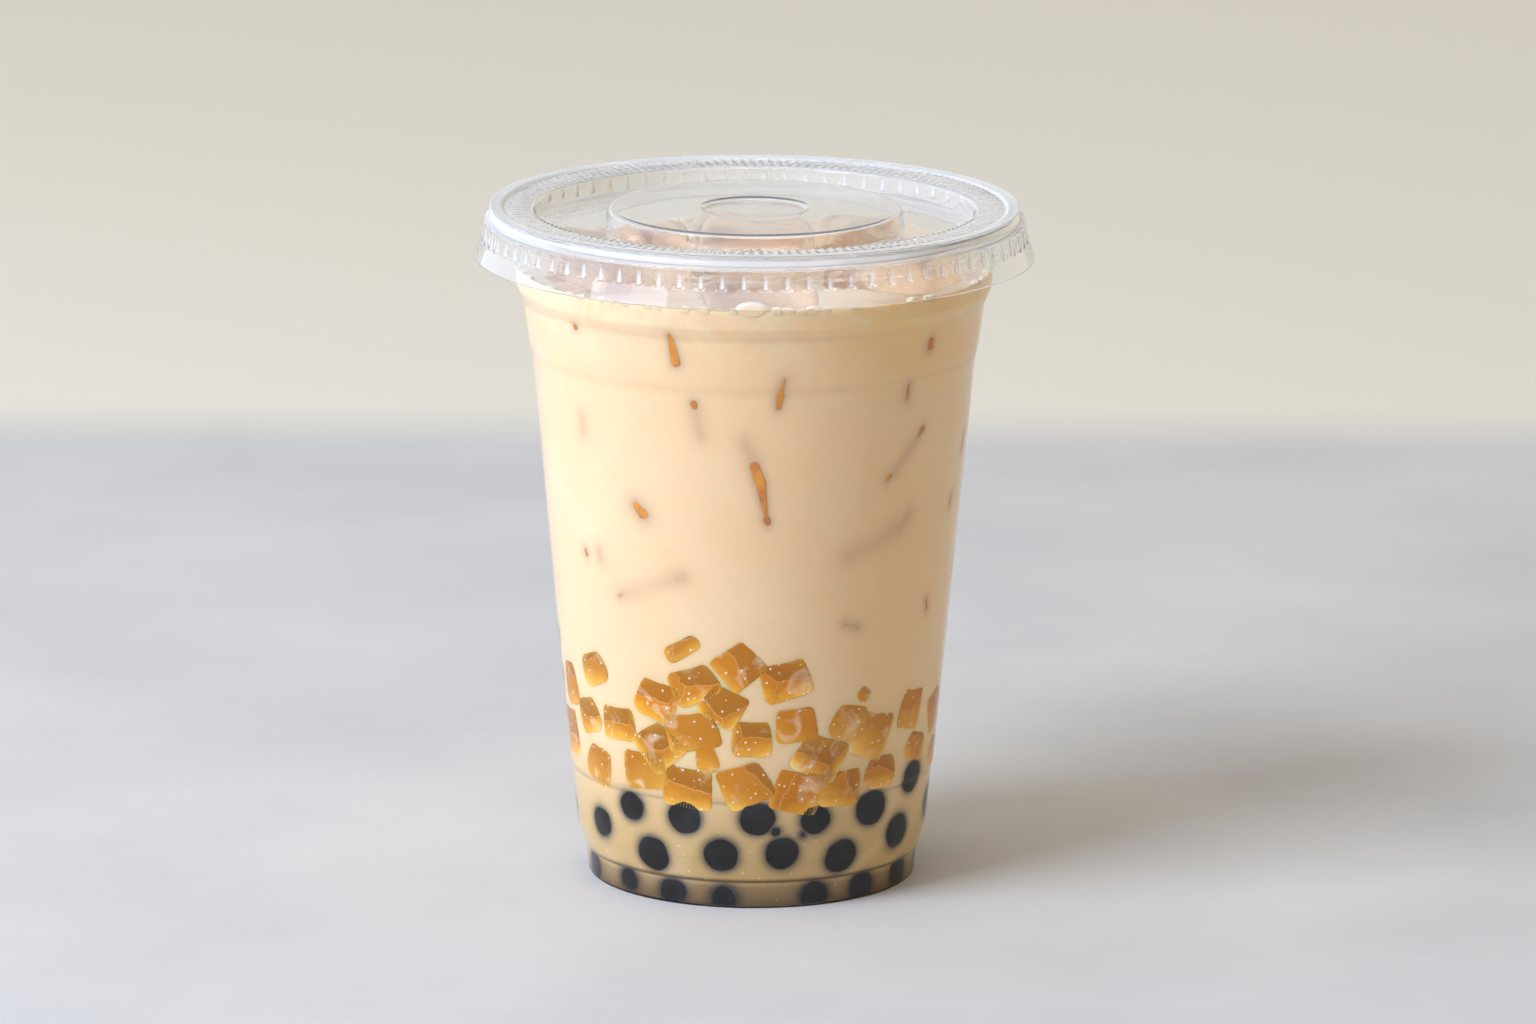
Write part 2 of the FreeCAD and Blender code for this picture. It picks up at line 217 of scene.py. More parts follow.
# ---------------------------------------------------------------- outlines
def offset_path(path, distance):
    """The path of (radius, height, rounding) moved to its left, with its roundings kept concentric."""
    sides = []
    for (r1, z1, _), (r2, z2, _) in zip(path, path[1:]):
        length = math.hypot(r2 - r1, z2 - z1)
        sides.append((-(z2 - z1) / length, (r2 - r1) / length))
    moved = []
    for (r, z, rounding), before, after in zip(path, sides[:1] + sides, sides + sides[-1:]):
        share = distance / (1 + before[0] * after[0] + before[1] * after[1])
        turns_left = before[0] * after[1] - before[1] * after[0] > 0
        grown = rounding - distance if turns_left else rounding + distance
        moved.append((r + share * (before[0] + after[0]), z + share * (before[1] + after[1]),
                      max(grown, 0) if rounding else 0))
    return moved


def cup_outside():
    """The cup's outside from the middle of its base, over the foot and up to the rim's hook."""
    wall = settings().cup_wall
    collar_r = RIM_RADIUS - COLLAR_INSET
    collar_top = CUP_HEIGHT - COLLAR_TOP
    collar_bottom = CUP_HEIGHT - COLLAR_BOTTOM
    collar_low_r = collar_r - COLLAR_TAPER * (collar_top - collar_bottom)
    band_top = collar_bottom - STACK_STEP[1]
    band_r = collar_low_r - STACK_STEP[0]
    band_bottom = band_top - BAND_HEIGHT
    band_low_r = band_r - BAND_TAPER * BAND_HEIGHT
    body_top = band_bottom - GRIP_STEP[1]
    body_r = band_low_r - GRIP_STEP[0]
    ledge_r = body_r - BODY_TAPER * (body_top - LEDGE_HEIGHT - LEDGE_STEP[1])
    under_ledge_r = ledge_r - LEDGE_STEP[0]
    shoulder_r = under_ledge_r - BODY_TAPER * (LEDGE_HEIGHT - SHOULDER_HEIGHT)
    shoulder_low_r = shoulder_r - SHOULDER_INSET
    foot_r = shoulder_low_r - FOOT_INSET
    foot_low_r = foot_r - FOOT_TAPER * FOOT_HEIGHT
    tread_r = foot_low_r - FOOT_TREAD
    hook_r = RIM_RADIUS - wall
    hook_top = CUP_HEIGHT - wall
    neck_r = RIM_RADIUS - RIM_WIDTH + wall
    return [
        (0, PUNT_HEIGHT, 0),
        (tread_r - PUNT_SLOPE, PUNT_HEIGHT, PUNT_ROUND),
        (tread_r, 0, FOOT_ROUND),
        (foot_low_r, 0, FOOT_ROUND),
        (foot_r, FOOT_HEIGHT, UNDERCUT_ROUND),
        (shoulder_low_r, FOOT_HEIGHT + UNDERCUT_HEIGHT, UNDERCUT_ROUND),
        (shoulder_r, SHOULDER_HEIGHT, SHOULDER_ROUND),
        (under_ledge_r, LEDGE_HEIGHT, LEDGE_ROUND),
        (ledge_r, LEDGE_HEIGHT + LEDGE_STEP[1], LEDGE_ROUND),
        (body_r, body_top, STEP_ROUND),
        (band_low_r, band_bottom, STEP_ROUND),
        (band_r, band_top, STEP_ROUND),
        (collar_low_r, collar_bottom, STEP_ROUND),
        (collar_r, collar_top, STEP_ROUND),
        (neck_r, CUP_HEIGHT - RIM_DEPTH, NECK_ROUND),
        (neck_r, hook_top, RIM_ROUND - wall),
        (hook_r, hook_top, RIM_ROUND - wall),
        (hook_r, CUP_HEIGHT - RIM_DEPTH, 0),
    ]


def lid_underside():
    """The lid's lower face from the middle out over the rim to the flange's edge."""
    wall = settings().lid_wall
    crown = CUP_HEIGHT
    ring = crown - KNURL_DROP
    floor = ring - WELL_DEPTH
    skirt = RIM_RADIUS + LID_CLEARANCE
    crown_inner = skirt + wall - CROWN_WIDTH
    ring_outer = crown_inner - KNURL_MARGIN
    ring_inner = ring_outer - KNURL_WIDTH - 2 * KNURL_MARGIN
    rib_top = CUP_HEIGHT - SKIRT_TOP
    return [
        (0, ring - STRAW_DEPTH, 0),
        (STRAW_RADIUS - STRAW_DEPTH, ring - STRAW_DEPTH, LID_ROUND),
        (STRAW_RADIUS, ring, LID_ROUND),
        (PLATEAU_RADIUS, ring, WELL_ROUND),
        (PLATEAU_RADIUS + WELL_DRAFT, floor, WELL_ROUND),
        (ring_inner - WELL_DRAFT, floor, WELL_ROUND),
        (ring_inner, ring, WELL_ROUND),
        (ring_outer, ring, LID_ROUND),
        (crown_inner, crown, LID_ROUND),
        (skirt, crown, CROWN_ROUND - wall),
        (skirt, rib_top, SKIRT_ROUND),
        (skirt + SKIRT_SHARE * FLANGE_REACH, rib_top - SKIRT_RIB_HEIGHT, SKIRT_ROUND),
        (skirt + FLANGE_REACH, CUP_HEIGHT - FLANGE_DROP, 0),
    ]


def outline(path, pitch, turn=0.2):
    """Points along the path: arcs at its roundings, and straight runs cut into steps of the pitch."""
    corners = [np.array(p[:2], float) for p in path]
    points = [corners[0]]

    def run_to(end):
        start = points[-1]
        length = np.linalg.norm(end - start)
        if length < 1e-7:
            return
        edge = min(0.00025, length / 3)
        marks = [edge] + list(np.linspace(edge, length - edge, max(2, math.ceil(length / pitch)))[1:])
        points.extend(start + (end - start) * mark / length for mark in marks)
        points.append(end)

    for i in range(1, len(corners) - 1):
        corner, rounding = corners[i], path[i][2]
        back = corners[i - 1] - corner
        back /= np.linalg.norm(back)
        on = corners[i + 1] - corner
        on /= np.linalg.norm(on)
        if rounding < 1e-7:
            run_to(corner)
            continue
        half = math.acos(np.clip(back @ on, -1, 1)) / 2
        run_to(corner + back * rounding / math.tan(half))
        inward = (back + on) / np.linalg.norm(back + on)
        centre = corner + inward * rounding / math.sin(half)
        first = points[-1] - centre
        sweep = math.pi - 2 * half
        if first[0] * on[1] - first[1] * on[0] < 0:
            sweep = -sweep
        steps = max(2, math.ceil(abs(sweep) / turn))
        for step in range(1, steps + 1):
            angle = sweep * step / steps
            points.append(centre + np.array([first[0] * math.cos(angle) - first[1] * math.sin(angle),
                                             first[0] * math.sin(angle) + first[1] * math.cos(angle)]))
    run_to(corners[-1])
    return np.array(points)


def wall_line():
    """The cup's inner wall as heights and radii, for the pieces that are pressed on it."""
    points = outline(offset_path(cup_outside(), settings().cup_wall), 0.001)
    low = int(np.argmin(points[:, 1]))
    high = int(np.argmax(points[:, 1] > LEVEL + 0.006))
    rising = points[low:high]
    return rising[:, 1], rising[:, 0]


def wall_radius(height, line=None):
    heights, radii = line or wall_line()
    return np.interp(height, heights, radii)


# ---------------------------------------------------------------- meshes
def add_object(name, vertices, faces, smooth=True):
    mesh = bpy.data.meshes.new(name)
    mesh.from_pydata(np.asarray(vertices).tolist(), [], faces)
    mesh.validate()
    if smooth:
        mesh.polygons.foreach_set("use_smooth", [True] * len(mesh.polygons))
    mesh.update()
    obj = bpy.data.objects.new(name, mesh)
    bpy.context.scene.collection.objects.link(obj)
    return obj


def turned(name, points, segments):
    """A closed skin turned about Z from an outline. Each point may have its own number of segments."""
    counts = np.where(points[:, 0] < 1e-7, 1, segments)
    vertices, rows = [], []
    for (radius, height), count in zip(points, counts):
        rows.append(np.arange(len(vertices), len(vertices) + count))
        angles = np.arange(count) * 2 * math.pi / count
        vertices.extend(zip(radius * np.cos(angles), radius * np.sin(angles), [height] * count))
    faces = []
    for low, high in zip(rows, rows[1:]):
        few, many, flip = (low, high, False) if len(low) <= len(high) else (high, low, True)
        share = len(many) // len(few)
        band = []
        for i in range(len(few)):
            here, beside = few[i], few[(i + 1) % len(few)]
            fan = [many[(i * share + k) % len(many)] for k in range(share + 1)]
            if share == 1:
                band.append((here, beside, fan[1], fan[0]))
                continue
            band.extend((here, fan[k + 1], fan[k]) for k in range(share))
            if here != beside:
                band.append((here, beside, fan[share]))
        faces.extend(tuple(int(v) for v in (face[::-1] if flip else face)) for face in band)
    closing = np.append(points, points[:1], axis=0)
    area = np.sum(closing[:-1, 0] * closing[1:, 1] - closing[1:, 0] * closing[:-1, 1])
    if area < 0:
        faces = [face[::-1] for face in faces]
    return add_object(name, vertices, faces)


def coordinates(obj):
    flat = np.empty(len(obj.data.vertices) * 3)
    obj.data.vertices.foreach_get("co", flat)
    return flat.reshape(-1, 3)


def set_coordinates(obj, points):
    obj.data.vertices.foreach_set("co", np.asarray(points, float).ravel())
    obj.data.update()


def note(obj, name, values):
    """A number, or three, kept at each point for the materials to read."""
    values = np.asarray(values, np.float32)
    single = values.ndim == 1
    layer = obj.data.attributes.new(name, "FLOAT" if single else "FLOAT_VECTOR", "POINT")
    layer.data.foreach_set("value" if single else "vector", values.ravel())


def joined(name, parts):
    """One mesh of many (vertices, faces) parts."""
    vertices, faces = [], []
    for part_vertices, part_faces in parts:
        base = sum(len(v) for v in vertices)
        vertices.append(part_vertices)
        faces.extend(tuple(base + i for i in face) for face in part_faces)
    return add_object(name, np.concatenate(vertices), faces)


def cube_grid(steps):
    """The six sides of a cube from -1 to 1, each cut into steps, sharing their edges."""
    index, vertices, faces = {}, [], []

    def vertex(point):
        if point not in index:
            index[point] = len(vertices)
            vertices.append([2 * c / steps - 1 for c in point])
        return index[point]

    for axis in range(3):
        u, v = (axis + 1) % 3, (axis + 2) % 3
        for side in (0, steps):
            for a in range(steps):
                for b in range(steps):
                    ring = []
                    for da, db in ((0, 0), (1, 0), (1, 1), (0, 1)):
                        point = [0, 0, 0]
                        point[axis], point[u], point[v] = side, a + da, b + db
                        ring.append(vertex(tuple(point)))
                    faces.append(tuple(ring if side else ring[::-1]))
    return np.array(vertices), faces


def rounded(unit, half, rounding):
    """The points of a cube of side 2 as a block of the given half sides, and the way out at each of them."""
    inner = np.clip(unit * half, rounding - half, half - rounding)
    away = unit * half - inner
    away /= np.maximum(np.linalg.norm(away, axis=1), 1e-9)[:, None]
    return inner + away * rounding, away


def turn_matrix(about_x, about_y, about_z):
    """A turn about X, then Y, then Z, in radians."""
    cx, sx, cy, sy, cz, sz = (f(a) for a in (about_x, about_y, about_z) for f in (math.cos, math.sin))
    turn_x = np.array([[1, 0, 0], [0, cx, -sx], [0, sx, cx]])
    turn_y = np.array([[cy, 0, sy], [0, 1, 0], [-sy, 0, cy]])
    turn_z = np.array([[cz, -sz, 0], [sz, cz, 0], [0, 0, 1]])
    return turn_z @ turn_y @ turn_x


def pressed_on_wall(points, line, reach=PIECE_REACH, floor=None):
    """The points, with those outside the cup's inner wall drawn in to it."""
    points = points.copy()
    if floor is not None:
        points[:, 2] = np.maximum(points[:, 2], floor)
    radii = np.hypot(points[:, 0], points[:, 1])
    limit = wall_radius(points[:, 2], line) + reach
    scale = np.minimum(1, limit / np.maximum(radii, 1e-9))
    points[:, 0] *= scale
    points[:, 1] *= scale
    return points


def press_depth(points, line):
    """How far each point would lie beyond the cup's inner wall."""
    return np.hypot(points[:, 0], points[:, 1]) - wall_radius(points[:, 2], line)


def on_bearing(bearing, radius, height):
    """A place at a bearing in degrees to the right of the front."""
    angle = math.radians(bearing)
    return np.array([radius * math.sin(angle), -radius * math.cos(angle), height])


# ---------------------------------------------------------------- shapes sunk in the drink
class Pearl:
    """A ball pressed on the wall, showing a disc of the given width."""
    channel = 0
    halo = 0.0006

    def __init__(self, bearing, height, width, line, size=0.0041):
        disc = width / 2
        self.radius = max(size, disc * 1.12)
        inset = math.sqrt(self.radius ** 2 - disc ** 2)
        self.centre = on_bearing(bearing, wall_radius(height, line) - inset, height)

    def distance(self, points):
        return np.linalg.norm(points - self.centre, axis=1) - self.radius

    reach = property(lambda self: self.radius)


class Jelly:
    """A rounded block pressed on the wall, turned about the wall's normal and leaning away from it."""
    channel = 1
    halo = 0.0004

    def __init__(self, bearing, height, width, tall, turn, lean, tone, line, luck):
        self.tone = tone
        self.half = np.array([width * 0.54, luck.uniform(3.2, 4.2) * MM, tall * 0.54])
        self.rounding = min(luck.uniform(1.0, 3.0) * MM, self.half.min() * 0.85)
        inset = self.half[1] - 0.0006 - abs(math.sin(math.radians(lean))) * self.half[2] * 0.55
        self.centre = on_bearing(bearing, wall_radius(height, line) - inset, height)
        lean_side = luck.choice((-1, 1))
        local = turn_matrix(math.radians(-lean), math.radians(lean * 0.5 * lean_side), 0)
        spin = turn_matrix(0, math.radians(-turn), 0)
        facing = turn_matrix(0, 0, math.radians(bearing))
        self.axes = facing @ spin @ local
        tumble = turn_matrix(luck.choice((-1, 1)) * luck.uniform(0.3, 0.75), luck.uniform(-0.3, 0.3),
                             luck.choice((-1, 1)) * luck.uniform(0.15, 0.7))
        self.inner_axes = facing @ spin @ tumble
        self.inner_half = self.half * luck.uniform(0.92, 1.05)

    def distance(self, points):
        local = (points - self.centre) @ self.axes
        beyond = np.abs(local) - (self.half - self.rounding)
        outside = np.linalg.norm(np.maximum(beyond, 0), axis=1)
        return outside + np.minimum(beyond.max(axis=1), 0) - self.rounding

    reach = property(lambda self: float(np.linalg.norm(self.half)))


class IceEdge:
    """A tapered round-ended edge of sunken ice, touching the wall or a little behind it."""
    channel = 2

    def __init__(self, places, widths, depth, line):
        self.radii = [width / 2 for width in widths]
        self.halo = 0.0007 + depth
        self.ends = [on_bearing(b, wall_radius(h, line) - depth - r * 0.35, h)
                     for (b, h), r in zip(places, self.radii)]

    def distance(self, points):
        start, end = self.ends
        way = end - start
        share = np.clip((points - start) @ way / (way @ way), 0, 1)
        radius = self.radii[0] + (self.radii[1] - self.radii[0]) * share
        return np.linalg.norm(points - start - share[:, None] * way, axis=1) - radius

    centre = property(lambda self: (self.ends[0] + self.ends[1]) / 2)
    reach = property(lambda self: float(np.linalg.norm(self.ends[1] - self.ends[0])) / 2 + max(self.radii))


def clear_of(shown, bearing, height, gap_degrees, gap_height):
    """True where no shown piece lies within the gaps of the place."""
    for other in shown:
        turn = abs((bearing - other[0] + 180) % 360 - 180)
        if turn < gap_degrees and abs(height - other[1]) < gap_height:
            return False
    return True


def all_pearls(line):
    """The pearls that show at the front and, in rows of the same pitch, those on the other sides."""
    luck = random.Random(3)
    places = list(SHOWN_PEARLS)
    for height, first, step in ((18.0, 86, 21.5), (10.6, 104, 21.0), (2.7, 84, 20.0)):
        bearing = first
        while bearing < 274:
            place = (bearing + luck.uniform(-3, 3), height + luck.uniform(-1.2, 1.6), luck.uniform(5.4, 6.8))
            if clear_of(places, place[0], place[1], 13, 5.6):
                places.append(place)
            bearing += step
    pearls = [Pearl(b, h * MM, w * MM, line) for b, h, w in places]
    crumbs = [Pearl(b, h * MM, w * MM, line, size=0.0012) for b, h, w in SHOWN_CRUMBS]
    return pearls, crumbs


def all_jelly(line):
    """The jelly that shows at the front and rows of like pieces on the other sides."""
    luck = random.Random(11)
    places = list(SHOWN_JELLY)
    rows = ((23.5, 88, 13.5, 1), (30.5, 92, 13.8, 1), (37.5, 86, 14.2, 0.95), (44, 94, 16, 0.75),
            (50, 100, 24, 0.4))
    for height, first, step, share in rows:
        bearing = first
        while bearing < 278:
            place = (bearing + luck.uniform(-3, 3), height + luck.uniform(-1.8, 1.8), luck.uniform(7, 9.4),
                     luck.uniform(6.6, 8.6), luck.uniform(-45, 45), luck.uniform(0, 16), luck.uniform(0.2, 1))
            if luck.random() < share and clear_of(places, place[0], place[1], 10.5, 5.4):
                places.append(place)
            bearing += step
    return [Jelly(b, h * MM, w * MM, t * MM, turn, lean, tone, line, luck)
            for b, h, w, t, turn, lean, tone in places]


def all_ice_edges(line):
    """The edges of sunken ice that show at the front and others strewn over the other sides."""
    luck = random.Random(8)
    places = list(SHOWN_ICE_EDGES)
    for i in range(26):
        bearing, height = 92 + 176 * (i + luck.random()) / 26, luck.uniform(56, 108)
        length, slant = luck.uniform(1, 9), luck.uniform(-1, 1)
        width = luck.uniform(0.7, 2.0)
        places.append((bearing, height, bearing + slant * length * 1.1, height - length * (1.1 - abs(slant)),
                       width, width * luck.uniform(0.4, 1), luck.choice((0, 0, 0.15, 0.4, 0.6))))
    return [IceEdge(((b1, h1 * MM), (b2, h2 * MM)), (w1 * MM, w2 * MM), d * MM, line)
            for b1, h1, b2, h2, w1, w2, d in places]


# ---------------------------------------------------------------- node trees
class Graph:
    """Short ways to add nodes to a shader or geometry tree."""

    def __init__(self, tree):
        self.tree = tree

    def plug(self, socket, value):
        if isinstance(value, bpy.types.NodeSocket):
            self.tree.links.new(value, socket)
            return
        if socket.type == "RGBA" and len(value) == 3:
            value = (*value, 1)
        socket.default_value = value

    def node(self, kind, inputs=None, **options):
        node = self.tree.nodes.new(kind)
        for key, value in options.items():
            setattr(node, key, value)
        for key, value in (inputs or {}).items():
            self.plug(node.inputs[key], value)
        return node

    def math(self, operation, *values, clamp=False):
        node = self.node("ShaderNodeMath", operation=operation, use_clamp=clamp)
        for socket, value in zip(node.inputs, values):
            self.plug(socket, value)
        return node.outputs[0]

    def times(self, first, second, clamp=False):
        return self.math("MULTIPLY", first, second, clamp=clamp)

    def vector(self, operation, first, second):
        """Two vectors combined, or a vector scaled by a number."""
        key = "Scale" if operation == "SCALE" else 1
        return self.node("ShaderNodeVectorMath", {0: first, key: second}, operation=operation).outputs[0]

    def grey(self, value):
        """A number as a colour or a vector."""
        return self.node("ShaderNodeCombineXYZ", {"X": value, "Y": value, "Z": value}).outputs[0]

    def ramp(self, value, *stops):
        """A colour ramp of (place, colour) stops."""
        node = self.node("ShaderNodeValToRGB", {"Fac": value})
        elements = node.color_ramp.elements
        while len(elements) < len(stops):
            elements.new(0.5)
        for element, (place, colour) in zip(elements, stops):
            element.position = place
            element.color = (*colour, 1)
        return node.outputs["Color"]

    def blend(self, share, first, second, mode="MIX"):
        """Two colours mixed by a share."""
        node = self.node("ShaderNodeMix", data_type="RGBA", blend_type=mode)
        for place, value in ((0, share), (6, first), (7, second)):
            self.plug(node.inputs[place], value)
        return node.outputs[2]

    def noise(self, where, scale, detail=3.0, distortion=0.0):
        inputs = {"Vector": where, "Scale": scale, "Detail": detail, "Distortion": distortion}
        return self.node("ShaderNodeTexNoise", inputs).outputs["Fac"]

    def noted(self, name, output="Vector"):
        """What was kept at the points under this name."""
        return self.node("ShaderNodeAttribute", attribute_name=name).outputs[output]

    def apart(self, vector):
        return self.node("ShaderNodeSeparateXYZ", {"Vector": vector}).outputs

    def spread(self, value, low, high, to_low=0.0, to_high=1.0):
        """The value moved from one range to another, kept inside it."""
        inputs = {"Value": value, "From Min": low, "From Max": high, "To Min": to_low, "To Max": to_high}
        return self.node("ShaderNodeMapRange", inputs).outputs[0]

    def cells(self, where, scale):
        """How far each place is from the middle of its cell."""
        return self.node("ShaderNodeTexVoronoi", {"Vector": where, "Scale": scale}).outputs["Distance"]

    def bump(self, height, strength, distance):
        inputs = {"Height": height, "Strength": strength, "Distance": distance}
        return self.node("ShaderNodeBump", inputs).outputs[0]

    def skin(self, colour, roughness, inputs=None):
        """The usual shader of a surface, with more of its sockets set where needed."""
        sockets = {"Base Color": colour, "Roughness": roughness, **(inputs or {})}
        return self.node("ShaderNodeBsdfPrincipled", sockets).outputs[0]


def new_material(name):
    made = bpy.data.materials.new(name)
    made.use_nodes = True
    made.node_tree.nodes.clear()
    graph = Graph(made.node_tree)
    where = graph.node("ShaderNodeTexCoord").outputs["Object"]
    return made, graph, where


def finish_material(graph, surface):
    graph.node("ShaderNodeOutputMaterial", {"Surface": surface})


def lets_light_in(graph, surface, tint):
    """The surface, which lamps shine straight through so that what is behind it is lit."""
    path = graph.node("ShaderNodeLightPath")
    passing = graph.math("MAXIMUM", path.outputs["Is Shadow Ray"], path.outputs["Is Diffuse Ray"])
    straight = graph.node("ShaderNodeBsdfTransparent", {"Color": tint}).outputs[0]
    return graph.node("ShaderNodeMixShader", {0: passing, 1: surface, 2: straight}).outputs[0]


def clear_plastic(name, clearness, bending, gloss):
    """Thin clear sheet that bends light only a little. Its fine ribs are painted grey shade, its ticks and
    bead painted white highlights.
    """
    made, graph, where = new_material(name)
    waves = graph.noise(where, 30.0, detail=1.0)
    # Painted shade: the lid's fine ribs greyed.
    painted_rib_shade = graph.spread(graph.noted("rib", "Fac"), 0.55, 0.95, 0.0, 0.7)
    # Painted highlight: white on the skirt's ticks and the lid's bead.
    tick = graph.spread(graph.noted("tick", "Fac"), 0.25, 0.8, 0.0, 0.55)
    tint = graph.blend(painted_rib_shade, tuple(settings().plastic_tint), (0.62, 0.63, 0.65))
    clear = graph.skin(tint, 0.02, {
        "IOR": bending, "Transmission Weight": clearness, "Coat Weight": gloss, "Coat Roughness": 0.02,
        "Coat IOR": 1.5, "Normal": graph.bump(waves, 0.05, 0.0006)})
    white = graph.skin((1.0, 0.97, 0.92), 0.3)
    body = graph.node("ShaderNodeMixShader", {0: tick, 1: clear, 2: white}).outputs[0]
    finish_material(graph, lets_light_in(graph, body, (0.97, 0.97, 0.97)))
    return made


def milk_tea():
    """Milky tea, browner towards the foot (partly less milky tea, partly painted shade), with swirls, a
    painted glow near the top on the right, painted shade at the foot and in the wall's steps, and darker
    where something lies just behind its skin.
    """
    made, graph, where = new_material("milk tea")
    colours = settings()
    across, _, height = graph.apart(where)
    # Browner low down: partly less milky tea, partly painted shade.
    body = graph.blend(graph.spread(height, 0.012, 0.030), tuple(colours.low_tea_and_shade), tuple(colours.milk_tea))
    # Painted shade: darker still at the foot.
    foot = graph.spread(height, FOOT_HEIGHT, FOOT_HEIGHT * 0.8, 0.0, 0.5)
    body = graph.blend(foot, body, linear(120, 92, 60))
    swirl = graph.spread(graph.noise(where, 26.0, detail=2.0, distortion=1.4), 0.45, 0.75, 0.0, 0.4)
    body = graph.blend(swirl, body, linear(252, 228, 196))
    # Painted light: a warm, brighter patch near the top on the right side.
    painted_glow = graph.times(graph.spread(across, 0.005, 0.03), graph.spread(height, LEVEL - 0.020, LEVEL - 0.004))
    painted_glow = graph.times(painted_glow, graph.spread(graph.noise(where, 34.0, detail=1.0), 0.35, 0.55))
    body = graph.blend(graph.times(painted_glow, 0.7), body, linear(255, 208, 142))
    froth = graph.spread(graph.noise(where, 75.0, detail=2.0, distortion=2.2), 0.5, 0.62)
    froth = graph.times(froth, graph.spread(height, LEVEL - 0.012, LEVEL - 0.002))
    body = graph.blend(graph.times(froth, 0.45), body, linear(255, 226, 184))
    specks = graph.spread(graph.cells(where, 520.0), 0.09, 0.14, 0.45, 0.0)
    body = graph.blend(graph.times(specks, graph.spread(height, 0.022, 0.012)), body, linear(255, 236, 200))
    pearl, jelly, ice = graph.apart(graph.noted("sunk"))
    body = graph.blend(ice, body, linear(198, 160, 126))
    body = graph.blend(jelly, body, linear(240, 190, 120))
    body = graph.blend(pearl, body, linear(58, 60, 68))
    # Painted shade from the crease attribute: dark lines in the wall's steps and darkening at the base.
    body = graph.blend(graph.noted("crease", "Fac"), body, linear(70, 48, 30))
    finish_material(graph, graph.skin(body, 0.45, {
        "Specular IOR Level": 0.05, "Subsurface Weight": 1.0, "Subsurface Radius": (1.0, 0.55, 0.3),
        "Subsurface Scale": 0.0014}))
    return made


def tea_surface():
    """The open surface of the drink, wet and a little frothy."""
    made, graph, where = new_material("tea surface")
    froth = graph.cells(where, 900.0)
    patches = graph.noise(where, 60.0, detail=4.0)
    body = graph.ramp(patches, (0.35, linear(226, 180, 132)), (0.6, linear(244, 212, 174)))
    finish_material(graph, graph.skin(body, 0.15, {
        "Specular IOR Level": 0.5, "Subsurface Weight": 0.6, "Subsurface Radius": (1.0, 0.55, 0.3),
        "Subsurface Scale": 0.0015, "Normal": graph.bump(froth, 0.25, 0.0003)}))
    return made


def pearl_skin():
    """Near-black tapioca with painted sheen, veiled by milk where it curves away from the wall."""
    made, graph, where = new_material("tapioca pearl")
    mottle = graph.noise(where, 420.0, detail=4.0)
    # Painted sheen: lighter blue-grey patches standing in for soft highlights.
    painted_sheen = graph.spread(graph.noise(where, 160.0, detail=3.0), 0.5, 0.75, 0.0, 0.6)
    body = graph.ramp(mottle, (0.35, linear(4, 3, 3)), (0.75, linear(20, 18, 19)))
    body = graph.blend(painted_sheen, body, linear(50, 50, 56))
    veil = graph.spread(graph.noted("pressed", "Fac"), 0.0, 0.0003, 0.7, 0.0)
    body = graph.blend(veil, body, linear(74, 76, 84))
    finish_material(graph, graph.skin(body, 0.45, {
        "Specular IOR Level": 0.3, "Normal": graph.bump(mottle, 0.4, 0.0003)}))
    return made


